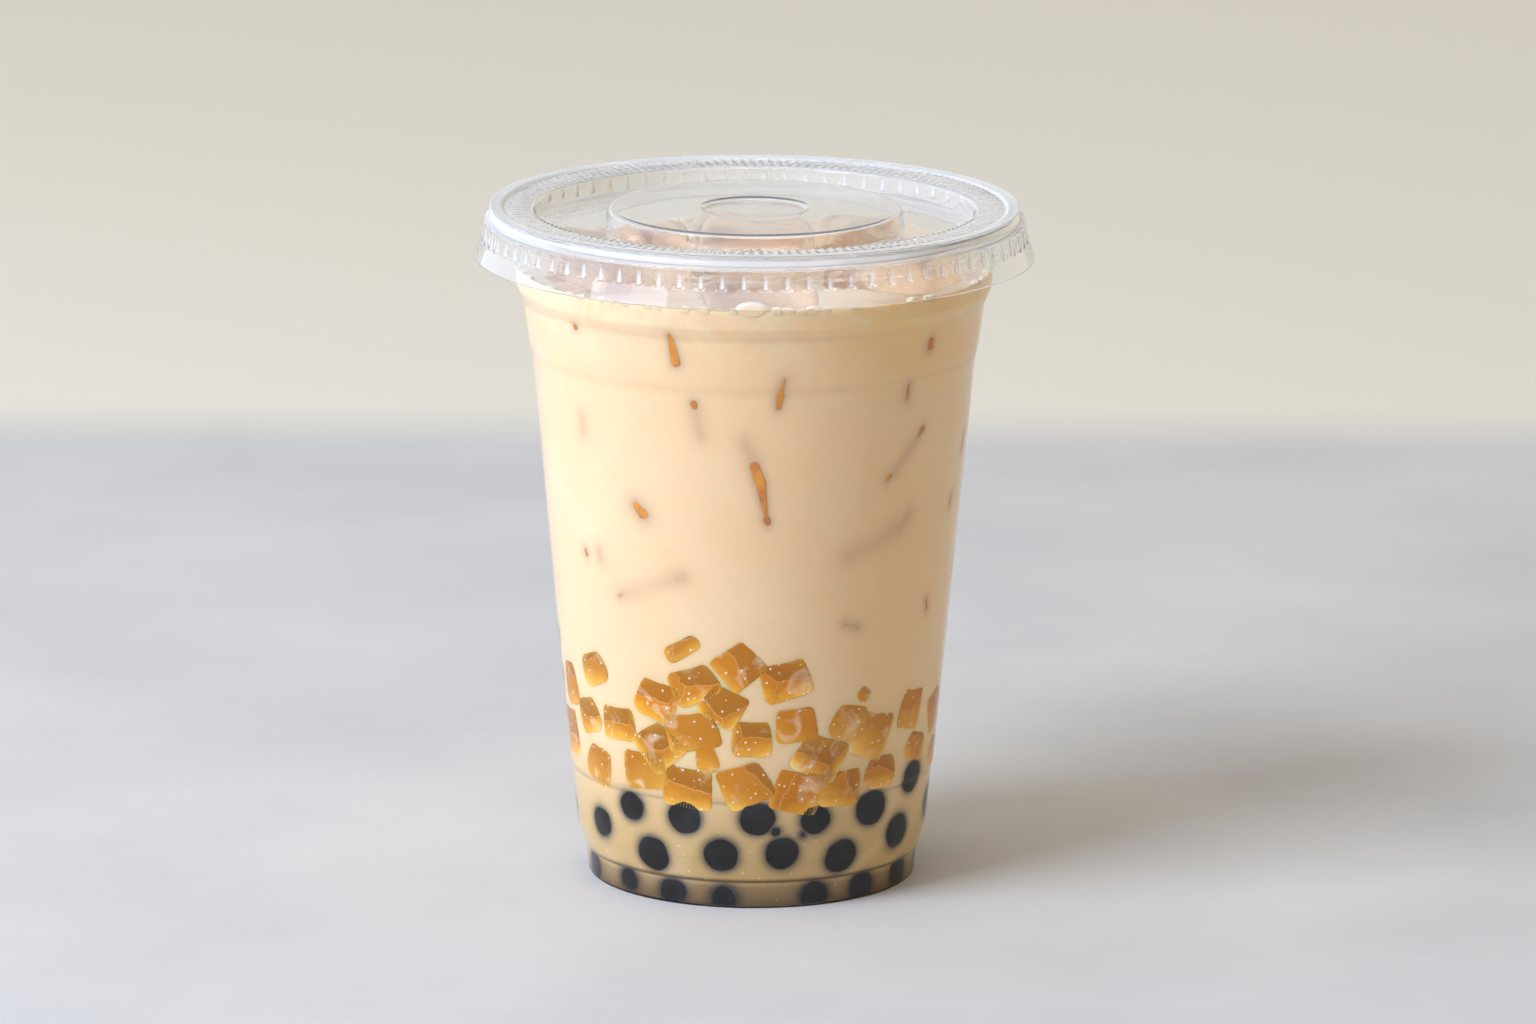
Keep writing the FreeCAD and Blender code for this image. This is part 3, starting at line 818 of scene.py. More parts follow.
def jelly_body():
    """Amber jelly that shows its own far sides: the longer the way through it, the deeper the colour. The far
    sides carry painted light and shade, the lines where they meet a painted highlight, and the edge on the
    wall a painted bright rim.
    """
    made, graph, where = new_material("amber jelly")
    noise = graph.node("ShaderNodeTexNoise", {"Vector": where, "Scale": 330.0, "Detail": 3.0})
    wobble = graph.vector("SUBTRACT", noise.outputs["Color"], (0.5, 0.5, 0.5))
    wobble = graph.vector("SCALE", wobble, 0.55)
    seat = graph.vector("ADD", graph.noted("seat"), wobble)
    ways = []
    for place, aim in zip(graph.apart(seat), graph.apart(graph.noted("sight"))):
        way = graph.math("DIVIDE", graph.math("SUBTRACT", graph.math("SIGN", aim), place), aim)
        ways.append(graph.math("MAXIMUM", way, 0.0))
    shortest = graph.math("MINIMUM", graph.math("MINIMUM", ways[0], ways[1]), ways[2])
    longest = graph.math("MAXIMUM", graph.math("MAXIMUM", ways[0], ways[1]), ways[2])
    total = graph.math("ADD", graph.math("ADD", ways[0], ways[1]), ways[2])
    second = graph.math("SUBTRACT", graph.math("SUBTRACT", total, shortest), longest)
    # Painted light and shade: each far side is lighter or darker by how a fixed light falls on it.
    shade = 0.0
    for way, lit in zip(ways, graph.apart(graph.noted("far_sides"))):
        chosen = graph.math("LESS_THAN", way, graph.math("ADD", shortest, 0.0001))
        shade = graph.math("MAXIMUM", shade, graph.times(chosen, lit))
    depth = graph.spread(shortest, 0.0, 7.0)
    golden = graph.ramp(depth, (0.0, linear(255, 228, 160)), (0.25, linear(250, 196, 84)),
                        (0.55, linear(232, 160, 36)), (1.0, linear(206, 124, 14)))
    brown = graph.ramp(depth, (0.0, linear(252, 226, 170)), (0.25, linear(242, 198, 110)),
                       (0.55, linear(220, 162, 62)), (1.0, linear(188, 122, 28)))
    body = graph.blend(graph.noted("tone", "Fac"), brown, golden)
    lift = graph.spread(shade, 0.0, 1.0, 0.72, 1.25)
    body = graph.blend(1.0, body, graph.grey(lift), mode="MULTIPLY")
    # Painted highlight: a bright line where two far sides meet.
    corner = graph.spread(graph.math("SUBTRACT", second, shortest), 0.0, 0.3, 0.3, 0.0)
    body = graph.blend(corner, body, linear(255, 226, 160))
    cloud = graph.spread(graph.noise(where, 210.0, detail=5.0, distortion=0.8), 0.56, 0.72, 0.0, 0.55)
    body = graph.blend(cloud, body, linear(250, 222, 186))
    specks = graph.spread(graph.cells(where, 620.0), 0.10, 0.17, 0.75, 0.0)
    body = graph.blend(specks, body, linear(255, 244, 222))
    # Painted highlight: a thin bright rim where the piece leaves the wall.
    wall_rim_highlight = graph.spread(graph.noted("pressed", "Fac"), 0.0, 0.00016, 0.65, 0.0)
    body = graph.blend(wall_rim_highlight, body, linear(255, 226, 170))
    finish_material(graph, graph.skin(body, 0.3, {
        "Specular IOR Level": 0.25, "Subsurface Weight": 0.2, "Subsurface Radius": (1.0, 0.5, 0.15),
        "Subsurface Scale": 0.0007}))
    return made


def ice_edge_skin():
    """Sunken ice against the wall: the dark of the tea shows through it."""
    made, graph, where = new_material("sunken ice")
    mottle = graph.noise(where, 300.0, detail=3.0)
    body = graph.ramp(mottle, (0.35, linear(230, 152, 60)), (0.7, linear(196, 120, 62)))
    edge = graph.spread(graph.noted("pressed", "Fac"), 0.0, 0.0002, 0.8, 0.0)
    body = graph.blend(edge, body, linear(214, 166, 134))
    finish_material(graph, graph.skin(body, 0.3, {"Specular IOR Level": 0.2}))
    return made


def ice_body():
    """Clear ice with a cloudy core and a wet, uneven skin."""
    made, graph, where = new_material("ice")
    dents = graph.noise(where, 240.0, detail=4.0, distortion=0.4)
    cloudy = graph.spread(graph.noise(where, 110.0, detail=5.0), 0.45, 0.7, 0.05, 0.5)
    clear = graph.skin((0.985, 0.92, 0.76), 0.05, {
        "IOR": 1.31, "Transmission Weight": 1.0, "Normal": graph.bump(dents, 0.6, 0.0008)})
    white = graph.skin(linear(252, 228, 184), 0.3)
    body = graph.node("ShaderNodeMixShader", {0: cloudy, 1: clear, 2: white}).outputs[0]
    finish_material(graph, lets_light_in(graph, body, (0.95, 0.94, 0.93)))
    return made


def bubble_film():
    """Thin tan film, paler towards its rim."""
    made, graph, where = new_material("bubble film")
    rim = graph.node("ShaderNodeLayerWeight", {"Blend": 0.5}).outputs["Facing"]
    body = graph.ramp(rim, (0.2, linear(244, 206, 158)), (0.7, linear(255, 240, 214)))
    swirl = graph.noise(where, 700.0, detail=2.0)
    finish_material(graph, graph.skin(body, 0.12, {
        "Specular IOR Level": 0.6, "Subsurface Weight": 0.3, "Subsurface Radius": (1.0, 0.55, 0.3),
        "Subsurface Scale": 0.0008, "Normal": graph.bump(swirl, 0.1, 0.0002)}))
    return made


def new_geometry_tree(name, inputs):
    """A geometry tree with named inputs of (name, socket kind, default)."""
    tree = bpy.data.node_groups.new(name, "GeometryNodeTree")
    tree.interface.new_socket("Geometry", in_out="INPUT", socket_type="NodeSocketGeometry")
    tree.interface.new_socket("Geometry", in_out="OUTPUT", socket_type="NodeSocketGeometry")
    for label, kind, default in inputs:
        socket = tree.interface.new_socket(label, in_out="INPUT", socket_type=kind)
        if default is not None:
            socket.default_value = default
    graph = Graph(tree)
    return graph, graph.node("NodeGroupInput").outputs


def close_geometry_tree(graph, geometry, material):
    real = graph.node("GeometryNodeRealizeInstances", {"Geometry": geometry}).outputs[0]
    dressed = graph.node("GeometryNodeSetMaterial", {"Geometry": real, "Material": material}).outputs[0]
    graph.node("NodeGroupOutput", {"Geometry": dressed})


def grown(obj, graph, values):
    """The object with the tree's result as its plain mesh."""
    modifier = obj.modifiers.new("grow", "NODES")
    modifier.node_group = graph.tree
    for item in graph.tree.interface.items_tree:
        if item.in_out == "INPUT" and item.name in values:
            modifier[item.identifier] = values[item.name]
    return plain(obj)


def plain(obj):
    """The object with its modifiers worked into its mesh."""
    bpy.context.view_layer.update()
    shaped = obj.evaluated_get(bpy.context.evaluated_depsgraph_get())
    mesh = bpy.data.meshes.new_from_object(shaped)
    old = obj.data
    obj.modifiers.clear()
    obj.data = mesh
    mesh.name = obj.name
    bpy.data.meshes.remove(old)
    return obj


def lid_rib_tree():
    """Fine radial ribs on the lid's ring and creases in its skirt, by moving both faces of the sheet. It also
    keeps where the ribs, ticks and bead are, for the plastic's painted shade and highlights.
    """
    graph, given = new_geometry_tree("Lid ribs", [
        ("Ring ribs", "NodeSocketInt", 160), ("Ring rib height", "NodeSocketFloat", 0.0003),
        ("Ring inner radius", "NodeSocketFloat", 0.0413), ("Ring outer radius", "NodeSocketFloat", 0.0457),
        ("Skirt ribs", "NodeSocketInt", 80), ("Skirt rib depth", "NodeSocketFloat", 0.0006),
        ("Skirt rib top", "NodeSocketFloat", 0.1229), ("Skirt rib foot", "NodeSocketFloat", 0.1196),
        ("Skirt radius", "NodeSocketFloat", 0.049), ("Material", "NodeSocketMaterial", None)])
    x, y, z = graph.apart(graph.node("GeometryNodeInputPosition").outputs[0])
    radius = graph.math("SQRT", graph.math("ADD", graph.times(x, x), graph.times(y, y)))
    turn = graph.math("DIVIDE", graph.math("ARCTAN2", y, x), 2 * math.pi)

    def pulse(count, share):
        around = graph.math("FRACT", graph.times(turn, count))
        off = graph.math("ABSOLUTE", graph.math("SUBTRACT", around, 0.5))
        return graph.math("SUBTRACT", 1.0, graph.math("DIVIDE", off, share), clamp=True)

    def within(value, low, high, edge):
        rise = graph.math("DIVIDE", graph.math("SUBTRACT", value, low), edge, clamp=True)
        fall = graph.math("DIVIDE", graph.math("SUBTRACT", high, value), edge, clamp=True)
        return graph.times(rise, fall)

    ring = within(radius, given["Ring inner radius"], given["Ring outer radius"], RIB_END)
    rib = graph.times(ring, pulse(given["Ring ribs"], 0.4))
    lift = graph.times(rib, given["Ring rib height"])
    above = graph.math("SUBTRACT", given["Skirt rib top"], z)
    span = graph.math("SUBTRACT", given["Skirt rib top"], given["Skirt rib foot"])
    deeper = graph.math("POWER", graph.math("DIVIDE", above, span, clamp=True), 0.6)
    ends = within(z, given["Skirt rib foot"], given["Skirt rib top"], 0.0004)
    outer = graph.math("GREATER_THAN", radius, given["Skirt radius"])
    crease = graph.times(graph.times(deeper, ends), outer)
    tick = graph.times(crease, pulse(given["Skirt ribs"], 0.22))
    crease = graph.times(tick, given["Skirt rib depth"])
    inward = graph.math("DIVIDE", graph.times(crease, -1.0), radius)
    offset = graph.node("ShaderNodeCombineXYZ", {
        "X": graph.times(x, inward), "Y": graph.times(y, inward), "Z": lift}).outputs[0]
    # The bead's band joins the tick mark, for the plastic's painted white highlight.
    bead = within(z, given["Skirt rib top"], 1.0, 0.0006)
    bead = graph.times(bead, graph.math("GREATER_THAN", radius, given["Ring outer radius"]))
    tick = graph.math("MAXIMUM", tick, graph.times(bead, 0.55))
    marked = given["Geometry"]
    for name, value in (("rib", rib), ("tick", tick)):
        marked = graph.node("GeometryNodeStoreNamedAttribute", {
            "Geometry": marked, "Name": name, "Value": value}, data_type="FLOAT", domain="POINT").outputs[0]
    moved = graph.node("GeometryNodeSetPosition", {"Geometry": marked, "Offset": offset}).outputs[0]
    close_geometry_tree(graph, moved, given["Material"])
    return graph


def ball_tree():
    """A ball at each point, of the size in the point's own radius."""
    graph, given = new_geometry_tree("Balls on points", [
        ("Roundness", "NodeSocketInt", 4), ("Material", "NodeSocketMaterial", None)])
    ball = graph.node("GeometryNodeMeshIcoSphere", {
        "Radius": 1.0, "Subdivisions": given["Roundness"]}).outputs[0]
    size = graph.node("GeometryNodeInputNamedAttribute", {"Name": "radius"}, data_type="FLOAT").outputs[0]
    balls = graph.node("GeometryNodeInstanceOnPoints", {
        "Points": given["Geometry"], "Instance": ball, "Scale": size}).outputs[0]
    real = graph.node("GeometryNodeRealizeInstances", {"Geometry": balls}).outputs[0]
    smooth = graph.node("GeometryNodeSetShadeSmooth", {"Geometry": real}).outputs[0]
    close_geometry_tree(graph, smooth, given["Material"])
    return graph


def balls(name, places, radii, roundness, material):
    """One mesh of balls of the given radii at the places."""
    seeds = add_object(name, places, [], smooth=False)
    layer = seeds.data.attributes.new("radius", "FLOAT", "POINT")
    layer.data.foreach_set("value", np.asarray(radii, np.float32))
    return grown(seeds, ball_tree(), {"Roundness": roundness, "Material": material})


# ---------------------------------------------------------------- pieces
def dress(obj, *materials):
    obj.data.materials.clear()
    for made in materials:
        obj.data.materials.append(made)


def make_cup():
    outside = cup_outside()
    outer = outline(outside, 0.004, turn=0.25)
    inner = outline(offset_path(outside, settings().cup_wall), 0.004, turn=0.25)
    cup = turned("cup_shell", np.concatenate([outer, inner[::-1]]), 240)
    dress(cup, clear_plastic("cup plastic", 1.0, 1.22, 0.2))
    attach(cup, "root")
    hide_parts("cup")


def with_rows(points, wanted):
    """The outline with more points where its runs pass the wanted (radius or height, axis) places."""
    dense = [points[0]]
    for start, end in zip(points, points[1:]):
        shares = set()
        for value, axis, low, high in wanted:
            if (start[axis] - value) * (end[axis] - value) < 0:
                share = (value - start[axis]) / (end[axis] - start[axis])
                if low < (start + (end - start) * share)[1 - axis] < high:
                    shares.add(share)
        dense.extend(start + (end - start) * share for share in sorted(shares))
        dense.append(end)
    return np.array(dense)


def make_lid():
    made = settings()
    under = lid_underside()
    lower = outline(under, 0.0035, turn=0.35)
    upper = outline(offset_path(under, made.lid_wall), 0.0035, turn=0.35)
    ring_outer = RIM_RADIUS + LID_CLEARANCE + made.lid_wall - CROWN_WIDTH - 2 * KNURL_MARGIN
    ring_inner = ring_outer - KNURL_WIDTH
    rib_top = CUP_HEIGHT - SKIRT_TOP
    rib_foot = rib_top - SKIRT_RIB_HEIGHT
    ring_level = CUP_HEIGHT - 2 * KNURL_DROP
    wanted = [(radius, 0, ring_level, CUP_HEIGHT + made.lid_wall)
              for radius in (ring_inner, ring_inner + RIB_END, ring_outer - RIB_END, ring_outer)]
    wanted += [(height, 1, RIM_RADIUS, RIM_RADIUS * 2) for height in np.linspace(rib_foot, rib_top, 10)]
    points = np.concatenate([with_rows(lower, wanted), with_rows(upper, wanted)[::-1]])
    fine = points[:, 0] > ring_inner - KNURL_MARGIN * 0.5
    lid = turned("lid_shell", points, np.where(fine, made.ring_ribs * 4, made.ring_ribs * 2))
    plastic = clear_plastic("lid plastic", made.lid_clearness, 1.18, 0.4)
    grown(lid, lid_rib_tree(), {
        "Ring ribs": made.ring_ribs, "Ring rib height": made.ring_rib_height,
        "Ring inner radius": ring_inner, "Ring outer radius": ring_outer, "Skirt ribs": made.skirt_ribs,
        "Skirt rib depth": made.skirt_rib_depth, "Skirt rib top": rib_top, "Skirt rib foot": rib_foot,
        "Skirt radius": RIM_RADIUS, "Material": plastic})
    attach(lid, "root")
    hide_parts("lid")


def ice_shape(box, luck):
    """A worn cube of ice filling the box of its CAD node."""
    low, high = np.array(box[0]), np.array(box[1])
    centre = (low + high) / 2
    unit, faces = cube_grid(20)
    half = settings().ice_edge / 2
    points, away = rounded(unit, half, half * ICE_ROUNDING)
    for _ in range(5):
        wave = np.array([luck.uniform(-1, 1) for _ in range(3)]) * 260
        phase = luck.uniform(0, 6.28)
        points += away * (np.sin(points @ wave + phase) * ICE_DENT)[:, None]
    waist = 1 - ICE_WAIST * (1 - np.abs(unit).min(axis=1))
    points *= waist[:, None]
    bearing = math.atan2(centre[1], centre[0])
    turn = turn_matrix(math.radians(luck.uniform(-7, 7)), math.radians(luck.uniform(-7, 7)),
                       bearing + math.radians(luck.uniform(-9, 9)))
    points = points @ turn.T
    points += centre - (points.max(axis=0) + points.min(axis=0)) / 2
    return points, faces


def make_ice():
    luck = random.Random(21)
    made = ice_body()
    for node in ICE_NODES:
        points, faces = ice_shape(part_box(node), luck)
        cube = add_object(f"floating_{node}", points, faces)
        dress(cube, made)
        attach(cube, "root")
        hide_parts(node)


def drink_outline(line):
    """The drink's outline: the cup's inside, a small rise at the wall, and the level surface."""
    inside = offset_path(cup_outside(), settings().cup_wall - DRINK_REACH)
    cut = [p for p in inside if p[1] < LEVEL - 0.001]
    edge = wall_radius(LEVEL, line) + DRINK_REACH
    path = cut + [(edge, LEVEL + 0.0006, 0)]
    coarse = outline(path, 0.0009, turn=0.5)
    points = [coarse[0]]
    for point in coarse[1:]:
        step = np.linalg.norm(point - points[-1])
        limit = 0.00046 if point[1] < 0.052 and point[0] > 0.02 else 0.00085
        limit = 0.003 if point[0] < 0.026 else limit
        if step < limit * 0.45 and point is not coarse[-1]:
            continue
        parts = max(1, math.ceil(step / limit - 0.3))
        start = points[-1]
        points.extend(start + (point - start) * i / parts for i in range(1, parts + 1))
    for inset, rise in ((0.0004, 0.00028), (0.0009, 0.0001), (0.0016, 0.00003), (0.003, 0)):
        points.append(np.array([edge - inset, LEVEL + rise]))
    points.extend(np.array([radius, LEVEL]) for radius in np.linspace(edge - 0.006, 0.0, 9))
    return np.array(points)


def make_drink():
    line = wall_line()
    drink = turned("milk_tea_body", drink_outline(line), 360)
    for cube in [o for o in bpy.data.objects if o.name.startswith("floating_")]:
        cutter = cube.copy()
        cutter.data = cube.data.copy()
        bpy.context.scene.collection.objects.link(cutter)
        points = coordinates(cutter)
        centre = (points.max(axis=0) + points.min(axis=0)) / 2
        set_coordinates(cutter, centre + (points - centre) * POCKET_SHARE)
        pocket = drink.modifiers.new("pocket", "BOOLEAN")
        pocket.operation = "DIFFERENCE"
        pocket.solver = "MANIFOLD"
        pocket.object = cutter
        plain(drink)
        bpy.data.objects.remove(cutter)
    points = coordinates(drink)
    tint, crease = np.zeros((len(points), 3)), np.zeros(len(points))
    pearls, crumbs = all_pearls(line)
    for shape in pearls + crumbs + all_jelly(line) + all_ice_edges(line):
        near = np.flatnonzero(np.linalg.norm(points - shape.centre, axis=1) < shape.reach + 0.004)
        away = np.maximum(shape.distance(points[near]), 0)
        shown = np.exp(-(away / shape.halo) ** 1.1) * TINT_STRENGTH[shape.channel]
        tint[near, shape.channel] = np.maximum(tint[near, shape.channel], shown)
    # Painted shade on the drink's skin at the wall: dark lines in the wall's steps and darkening at the base.
    at_wall = press_depth(points, line) > -0.0002
    for height, width, strength in PAINTED_CREASE_SHADE:
        crease = np.maximum(crease, strength * at_wall * np.exp(-((points[:, 2] - height) / width) ** 2))
    note(drink, "sunk", tint)
    note(drink, "crease", crease)
    dress(drink, milk_tea(), tea_surface())
    centres = np.array([p.center[:] for p in drink.data.polygons])
    inside = np.hypot(centres[:, 0], centres[:, 1]) < wall_radius(centres[:, 2], line) - 0.0002
    top = inside & (centres[:, 2] > 0.06)
    drink.data.polygons.foreach_set("material_index", top.astype(int))
    drink.data.polygons.foreach_set("use_smooth", [True] * len(drink.data.polygons))
    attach(drink, "root")
    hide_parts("drink")


def make_pearls():
    line = wall_line()
    floor = settings().cup_wall + 0.0001
    pearls, crumbs = all_pearls(line)
    made = pearl_skin()
    lower = [p for p in pearls if p.centre[2] < PEARL_SPLIT]
    upper = [p for p in pearls if p.centre[2] >= PEARL_SPLIT]
    groups = (("pearls_lower", lower, 5), ("pearls_upper", upper, 5), ("pearl_crumbs", crumbs, 3))
    for name, group, roundness in groups:
        piece = balls(name, [p.centre for p in group], [p.radius for p in group], roundness, made)
        points = coordinates(piece)
        wobble = np.sin(points @ np.array([900.0, 700, 1100]))
        wobble *= np.sin(points @ np.array([-600.0, 1300, 500]))
        for pearl in group:
            near = np.linalg.norm(points - pearl.centre, axis=1) < pearl.radius * 1.01
            points[near] += (points[near] - pearl.centre) * (wobble[near] * 0.025)[:, None]
        note(piece, "pressed", press_depth(points, line))
        set_coordinates(piece, pressed_on_wall(points, line, floor=floor))
        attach(piece, "root")


def jelly_look(shape, points):
    """For each point: its place in the block, the way in from the wall, the painted light and shade of the
    far sides and the tone.
    """
    outward = points * np.array([1, 1, 0])
    outward /= np.linalg.norm(outward, axis=1)[:, None]
    into = -outward * math.cos(INWARD_DIP) - np.array([0, 0, math.sin(INWARD_DIP)])
    seat = (points - shape.centre) @ shape.inner_axes / shape.inner_half
    sight = into @ shape.inner_axes / shape.inner_half * MM
    aim = np.sign(sight.mean(axis=0))
    # Painted light and shade of the three far sides, from a fixed light.
    far_sides = 0.5 + 0.5 * (shape.inner_axes * aim).T @ np.array(SUNKEN_LIGHT)
    far_sides = np.tile(np.clip(far_sides, 0.02, 1), (len(points), 1))
    return seat, sight, far_sides, np.full(len(points), shape.tone)


def make_jelly():
    line = wall_line()
    unit, faces = cube_grid(16)
    made = jelly_body()
    shapes = sorted(all_jelly(line), key=lambda shape: shape.centre[2])
    middle = len(shapes) // 2
    for name, group in (("jelly_lower", shapes[:middle]), ("jelly_upper", shapes[middle:])):
        parts, looks = [], []
        for shape in group:
            local, _ = rounded(unit, shape.half, shape.rounding)
            free = shape.centre + local @ shape.axes.T
            points = pressed_on_wall(free, line)
            parts.append((points, faces))
            looks.append((*jelly_look(shape, points), press_depth(free, line)))
        piece = joined(name, parts)
        for label, values in zip(("seat", "sight", "far_sides", "tone", "pressed"), zip(*looks)):
            note(piece, label, np.concatenate(values))
        dress(piece, made)
        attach(piece, "root")


def make_ice_edges():
    line = wall_line()
    around, along = 24, 12
    parts, depths = [], []
    for edge in all_ice_edges(line):
        start, end = edge.ends
        way = (end - start) / np.linalg.norm(end - start)
        side = np.cross(way, start * np.array([1, 1, 0]))
        side /= np.linalg.norm(side)
        other = np.cross(way, side)
        length = np.linalg.norm(end - start)
        first, last = edge.radii
        quarter = np.linspace(0, math.pi / 2, 5)
        stations = [(-first * math.cos(t), first * math.sin(t)) for t in quarter]
        stations += [(length * k / along, first + (last - first) * k / along) for k in range(1, along)]
        stations += [(length + last * math.sin(t), last * math.cos(t)) for t in quarter]
        vertices, rings = [], []
        for place, radius in stations:
            middle = start + way * place
            if radius < 1e-7:
                rings.append([len(vertices)] * around)
                vertices.append(middle)
                continue
            rings.append(list(range(len(vertices), len(vertices) + around)))
            for k in range(around):
                a = 2 * math.pi * k / around
                vertices.append(middle + (side * math.cos(a) + other * math.sin(a)) * radius)
        faces = []
        for low, high in zip(rings, rings[1:]):
            for k in range(around):
                ring = (low[k], low[(k + 1) % around], high[(k + 1) % around], high[k])
                faces.append(tuple(dict.fromkeys(ring)))
        free = np.array(vertices)
        depths.append(press_depth(free, line))
        parts.append((pressed_on_wall(free, line), faces))
    piece = joined("sunken_ice_edges", parts)
    note(piece, "pressed", np.concatenate(depths))
    dress(piece, ice_edge_skin())
    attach(piece, "root")


def make_bubbles():
    """Bubbles along the wall at the drink's surface."""
    line = wall_line()
    luck = random.Random(17)
    edge = wall_radius(LEVEL, line)
    places, radii = [], []
    shown = list(SHOWN_BUBBLES)
    for _ in range(40):
        shown.append((luck.uniform(22, 338), luck.uniform(0.4, 1.3), luck.uniform(0.3, 0.7)))
    for bearing, wide, tall in shown:
        radius = wide * MM
        places.append(on_bearing(bearing, edge - radius * 0.5, LEVEL + tall * 0.0004))
        radii.append(radius)
    piece = balls("froth_bubbles", places, radii, 4, bubble_film())
    points = coordinates(piece)
    for place, radius, (_, wide, tall) in zip(places, radii, shown):
        near = np.linalg.norm(points - place, axis=1) < radius * 1.01
        points[near, 2] = place[2] + (points[near, 2] - place[2]) * tall / wide
    set_coordinates(piece, pressed_on_wall(points, line))
    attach(piece, "root")


# ---------------------------------------------------------------- stage
def aimed(obj, place, target):
    """The object at the place, with its -Z towards the target."""
    obj.location = place
    obj.rotation_euler = (Vector(target) - Vector(place)).to_track_quat("-Z", "Y").to_euler()
    return obj


def add_lamp(name, place, target, size, watts, colour):
    lamp = bpy.data.lights.new(name, "AREA")
    lamp.shape = "RECTANGLE"
    lamp.size, lamp.size_y = size
    lamp.energy = watts
    lamp.color = colour
    obj = bpy.data.objects.new(name, lamp)
    bpy.context.scene.collection.objects.link(obj)
    return aimed(obj, place, target)


def make_floor():
    half = 6.0
    floor = add_object("floor", [(-half, -half, 0), (half, -half, 0), (half, half, 0), (-half, half, 0)],
                       [(0, 1, 2, 3)], smooth=False)
    made, graph, where = new_material("pale floor")
    _, far, _ = graph.apart(where)
    edge = graph.node("ShaderNodeMapRange", {"Value": far, "From Min": 0.36, "From Max": 0.40}).outputs[0]
    mottle = graph.noise(where, 14.0, detail=5.0)
    stone = graph.ramp(mottle, (0.3, linear(207, 203, 196)), (0.7, linear(220, 215, 207)))
    body = graph.blend(edge, stone, linear(242, 232, 211))
    finish_material(graph, graph.skin(body, 0.7, {"Specular IOR Level": 0.2}))
    dress(floor, made)


def make_camera():
    """A long lens from the front, a little above, turned slightly as the cup stands in its frame."""
    made = settings()
    rise = math.radians(CAMERA_RISE)
    place = (0, -made.camera_distance * math.cos(rise), LOOK_AT[2] + made.camera_distance * math.sin(rise))
    camera = bpy.data.cameras.new("camera")
    camera.lens = CAMERA_LENS
    camera.sensor_width = 36.0
    camera.shift_x, camera.shift_y = CAMERA_SHIFT
    camera.clip_start = 0.1
    obj = bpy.data.objects.new("camera", camera)
    bpy.context.scene.collection.objects.link(obj)
    aimed(obj, place, LOOK_AT)
    obj.rotation_euler.rotate_axis("Z", math.radians(CAMERA_ROLL))
    bpy.context.scene.camera = obj


def make_world():
    """A pale room: brightest behind and to the left, warmer and dimmer on the right."""
    world = bpy.data.worlds.new("studio")
    world.use_nodes = True
    graph = Graph(world.node_tree)
    across, back, up = graph.apart(graph.node("ShaderNodeTexCoord").outputs["Generated"])
    low = graph.math("SUBTRACT", 1.0, up, clamp=True)
    total = (0.0, 0.0, 0.0)
    for side, sign, strength, colour in ((across, -1.0, *WORLD_LEFT), (across, 1.0, *WORLD_RIGHT),
                                         (back, 1.0, *WORLD_BACK), (up, 1.0, *WORLD_ABOVE)):
        reach = graph.times(graph.times(side, sign, clamp=True), strength)
        if side is not up:
            reach = graph.times(reach, low)
        total = graph.vector("ADD", total, graph.vector("SCALE", colour, reach))
    ahead = graph.times(back, -1.0, clamp=True)
    high = graph.times(graph.math("MAXIMUM", up, 0.0), graph.spread(up, 0.35, 0.6))
    shine = graph.times(graph.times(ahead, high), WORLD_SHINE)
    ray = graph.node("ShaderNodeLightPath").outputs
    mirrored = ray["Is Glossy Ray"]
    above = graph.times(up, 1.0, clamp=True)
    through = graph.times(graph.math("MAXIMUM", ahead, above), WORLD_THROUGH)
    through = graph.times(through, ray["Is Transmission Ray"])
    shine = graph.math("ADD", graph.times(shine, mirrored), through)
    total = graph.vector("SCALE", total, graph.spread(mirrored, 0.0, 1.0, 1.0, WORLD_MIRRORED))
    total = graph.vector("ADD", total, graph.grey(shine))
    background = world.node_tree.nodes["Background"]
    graph.plug(background.inputs["Color"], total)
    background.inputs["Strength"].default_value = 1.0
    bpy.context.scene.world = world


def make_light():
    make_world()
    window = add_lamp("window", (-1.1, -0.75, 0.95), LOOK_AT, (0.9, 0.9), 24, (0.84, 0.99, 1.29))
    window.visible_glossy = False
    bpy.context.scene.view_settings.view_transform = "Standard"


# ---------------------------------------------------------------- settings, operators and panel
def length(name, description, default):
    return bpy.props.FloatProperty(name=name, description=description, default=default, unit="LENGTH")


def colour(name, description, default):
    return bpy.props.FloatVectorProperty(
        name=name, description=description, default=default, subtype="COLOR", size=3)


class MilkTeaSettings(bpy.types.PropertyGroup):
    """Sizes and colours of the cup of milk tea."""
    cup_wall: length("Cup wall", "Thickness of the cup's sheet", 0.0005)
    lid_wall: length("Lid wall", "Thickness of the lid's sheet", 0.00045)
    ring_ribs: bpy.props.IntProperty(
        name="Ring ribs", description="Fine ribs on the lid's top ring", default=160)
    ring_rib_height: length("Ring rib height", "Height of a fine rib", 0.0004)
    skirt_ribs: bpy.props.IntProperty(
        name="Skirt ribs", description="Creases round the lid's skirt", default=80)
    skirt_rib_depth: length("Skirt rib depth", "Depth of a crease", 0.0008)
    lid_clearness: bpy.props.FloatProperty(
        name="Lid clearness", description="Share of light that passes the lid's sheet", default=0.93,
        subtype="FACTOR")
    ice_edge: length("Ice edge", "Edge of a floating cube", 0.0205)
    camera_distance: length("Camera distance", "From the lens to the cup's axis", 1.732)
    plastic_tint: colour("Plastic tint", "Colour of the clear sheet", (0.985, 0.99, 0.99))
    milk_tea: colour("Milk tea", "Colour of the drink", linear(246, 211, 166))
    # Partly the tea's own colour near the foot, partly painted shade.
    low_tea_and_shade: colour("Tea at the foot", "Colour of the drink near the foot", linear(206, 175, 121))


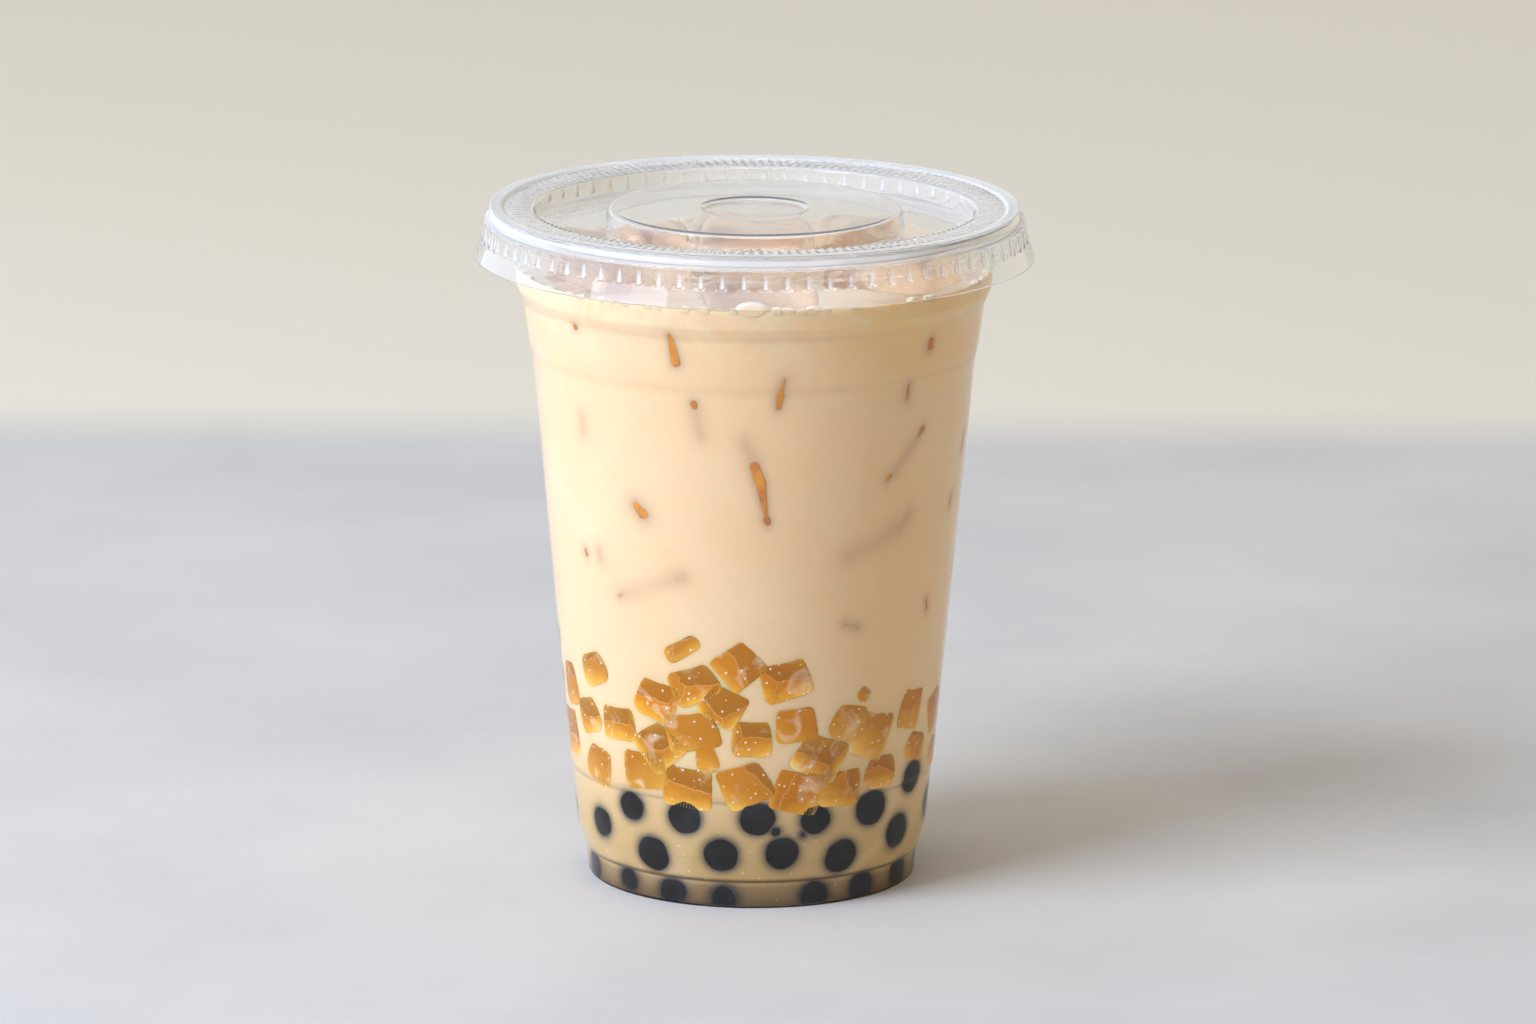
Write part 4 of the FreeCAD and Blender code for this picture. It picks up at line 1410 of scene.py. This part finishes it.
def settings():
    return bpy.context.scene.milk_tea


class MILKTEA_OT_cup(bpy.types.Operator):
    """Makes the clear cup"""
    bl_idname = "milktea.cup"
    bl_label = "Cup"

    def execute(self, context):
        make_cup()
        return {"FINISHED"}


class MILKTEA_OT_lid(bpy.types.Operator):
    """Makes the flat lid with its ribs"""
    bl_idname = "milktea.lid"
    bl_label = "Lid"

    def execute(self, context):
        make_lid()
        return {"FINISHED"}


class MILKTEA_OT_ice(bpy.types.Operator):
    """Makes the floating ice"""
    bl_idname = "milktea.ice"
    bl_label = "Floating ice"

    def execute(self, context):
        make_ice()
        return {"FINISHED"}


class MILKTEA_OT_drink(bpy.types.Operator):
    """Makes the drink, with pockets round the floating ice"""
    bl_idname = "milktea.drink"
    bl_label = "Drink"

    def execute(self, context):
        make_drink()
        return {"FINISHED"}


class MILKTEA_OT_pearls(bpy.types.Operator):
    """Makes the tapioca pearls"""
    bl_idname = "milktea.pearls"
    bl_label = "Pearls"

    def execute(self, context):
        make_pearls()
        return {"FINISHED"}


class MILKTEA_OT_jelly(bpy.types.Operator):
    """Makes the amber jelly"""
    bl_idname = "milktea.jelly"
    bl_label = "Jelly"

    def execute(self, context):
        make_jelly()
        return {"FINISHED"}


class MILKTEA_OT_sunken_ice(bpy.types.Operator):
    """Makes the edges of sunken ice that touch the wall"""
    bl_idname = "milktea.sunken_ice"
    bl_label = "Sunken ice"

    def execute(self, context):
        make_ice_edges()
        return {"FINISHED"}


class MILKTEA_OT_bubbles(bpy.types.Operator):
    """Makes the bubbles at the drink's surface"""
    bl_idname = "milktea.bubbles"
    bl_label = "Bubbles"

    def execute(self, context):
        make_bubbles()
        return {"FINISHED"}


class MILKTEA_OT_stage(bpy.types.Operator):
    """Makes the floor, the lights and the camera"""
    bl_idname = "milktea.stage"
    bl_label = "Stage"

    def execute(self, context):
        make_floor()
        make_light()
        make_camera()
        return {"FINISHED"}


OPERATORS = (MILKTEA_OT_cup, MILKTEA_OT_lid, MILKTEA_OT_ice, MILKTEA_OT_drink, MILKTEA_OT_pearls,
             MILKTEA_OT_jelly, MILKTEA_OT_sunken_ice, MILKTEA_OT_bubbles, MILKTEA_OT_stage)


class MILKTEA_PT_panel(bpy.types.Panel):
    """Lists the pieces and their sizes"""
    bl_label = "Milk tea"
    bl_space_type = "VIEW_3D"
    bl_region_type = "UI"
    bl_category = "Milk tea"

    def draw(self, context):
        for operator in OPERATORS:
            self.layout.operator(operator.bl_idname)
        for name in MilkTeaSettings.__annotations__:
            self.layout.prop(context.scene.milk_tea, name)


CLASSES = (MilkTeaSettings, *OPERATORS, MILKTEA_PT_panel)


def register():
    for made in CLASSES:
        bpy.utils.register_class(made)
    bpy.types.Scene.milk_tea = bpy.props.PointerProperty(type=MilkTeaSettings)


def unregister():
    del bpy.types.Scene.milk_tea
    for made in reversed(CLASSES):
        bpy.utils.unregister_class(made)


def main():
    register()
    for operator in OPERATORS:
        section, name = operator.bl_idname.split(".")
        getattr(getattr(bpy.ops, section), name)()


if __name__ == "__main__":
    main()
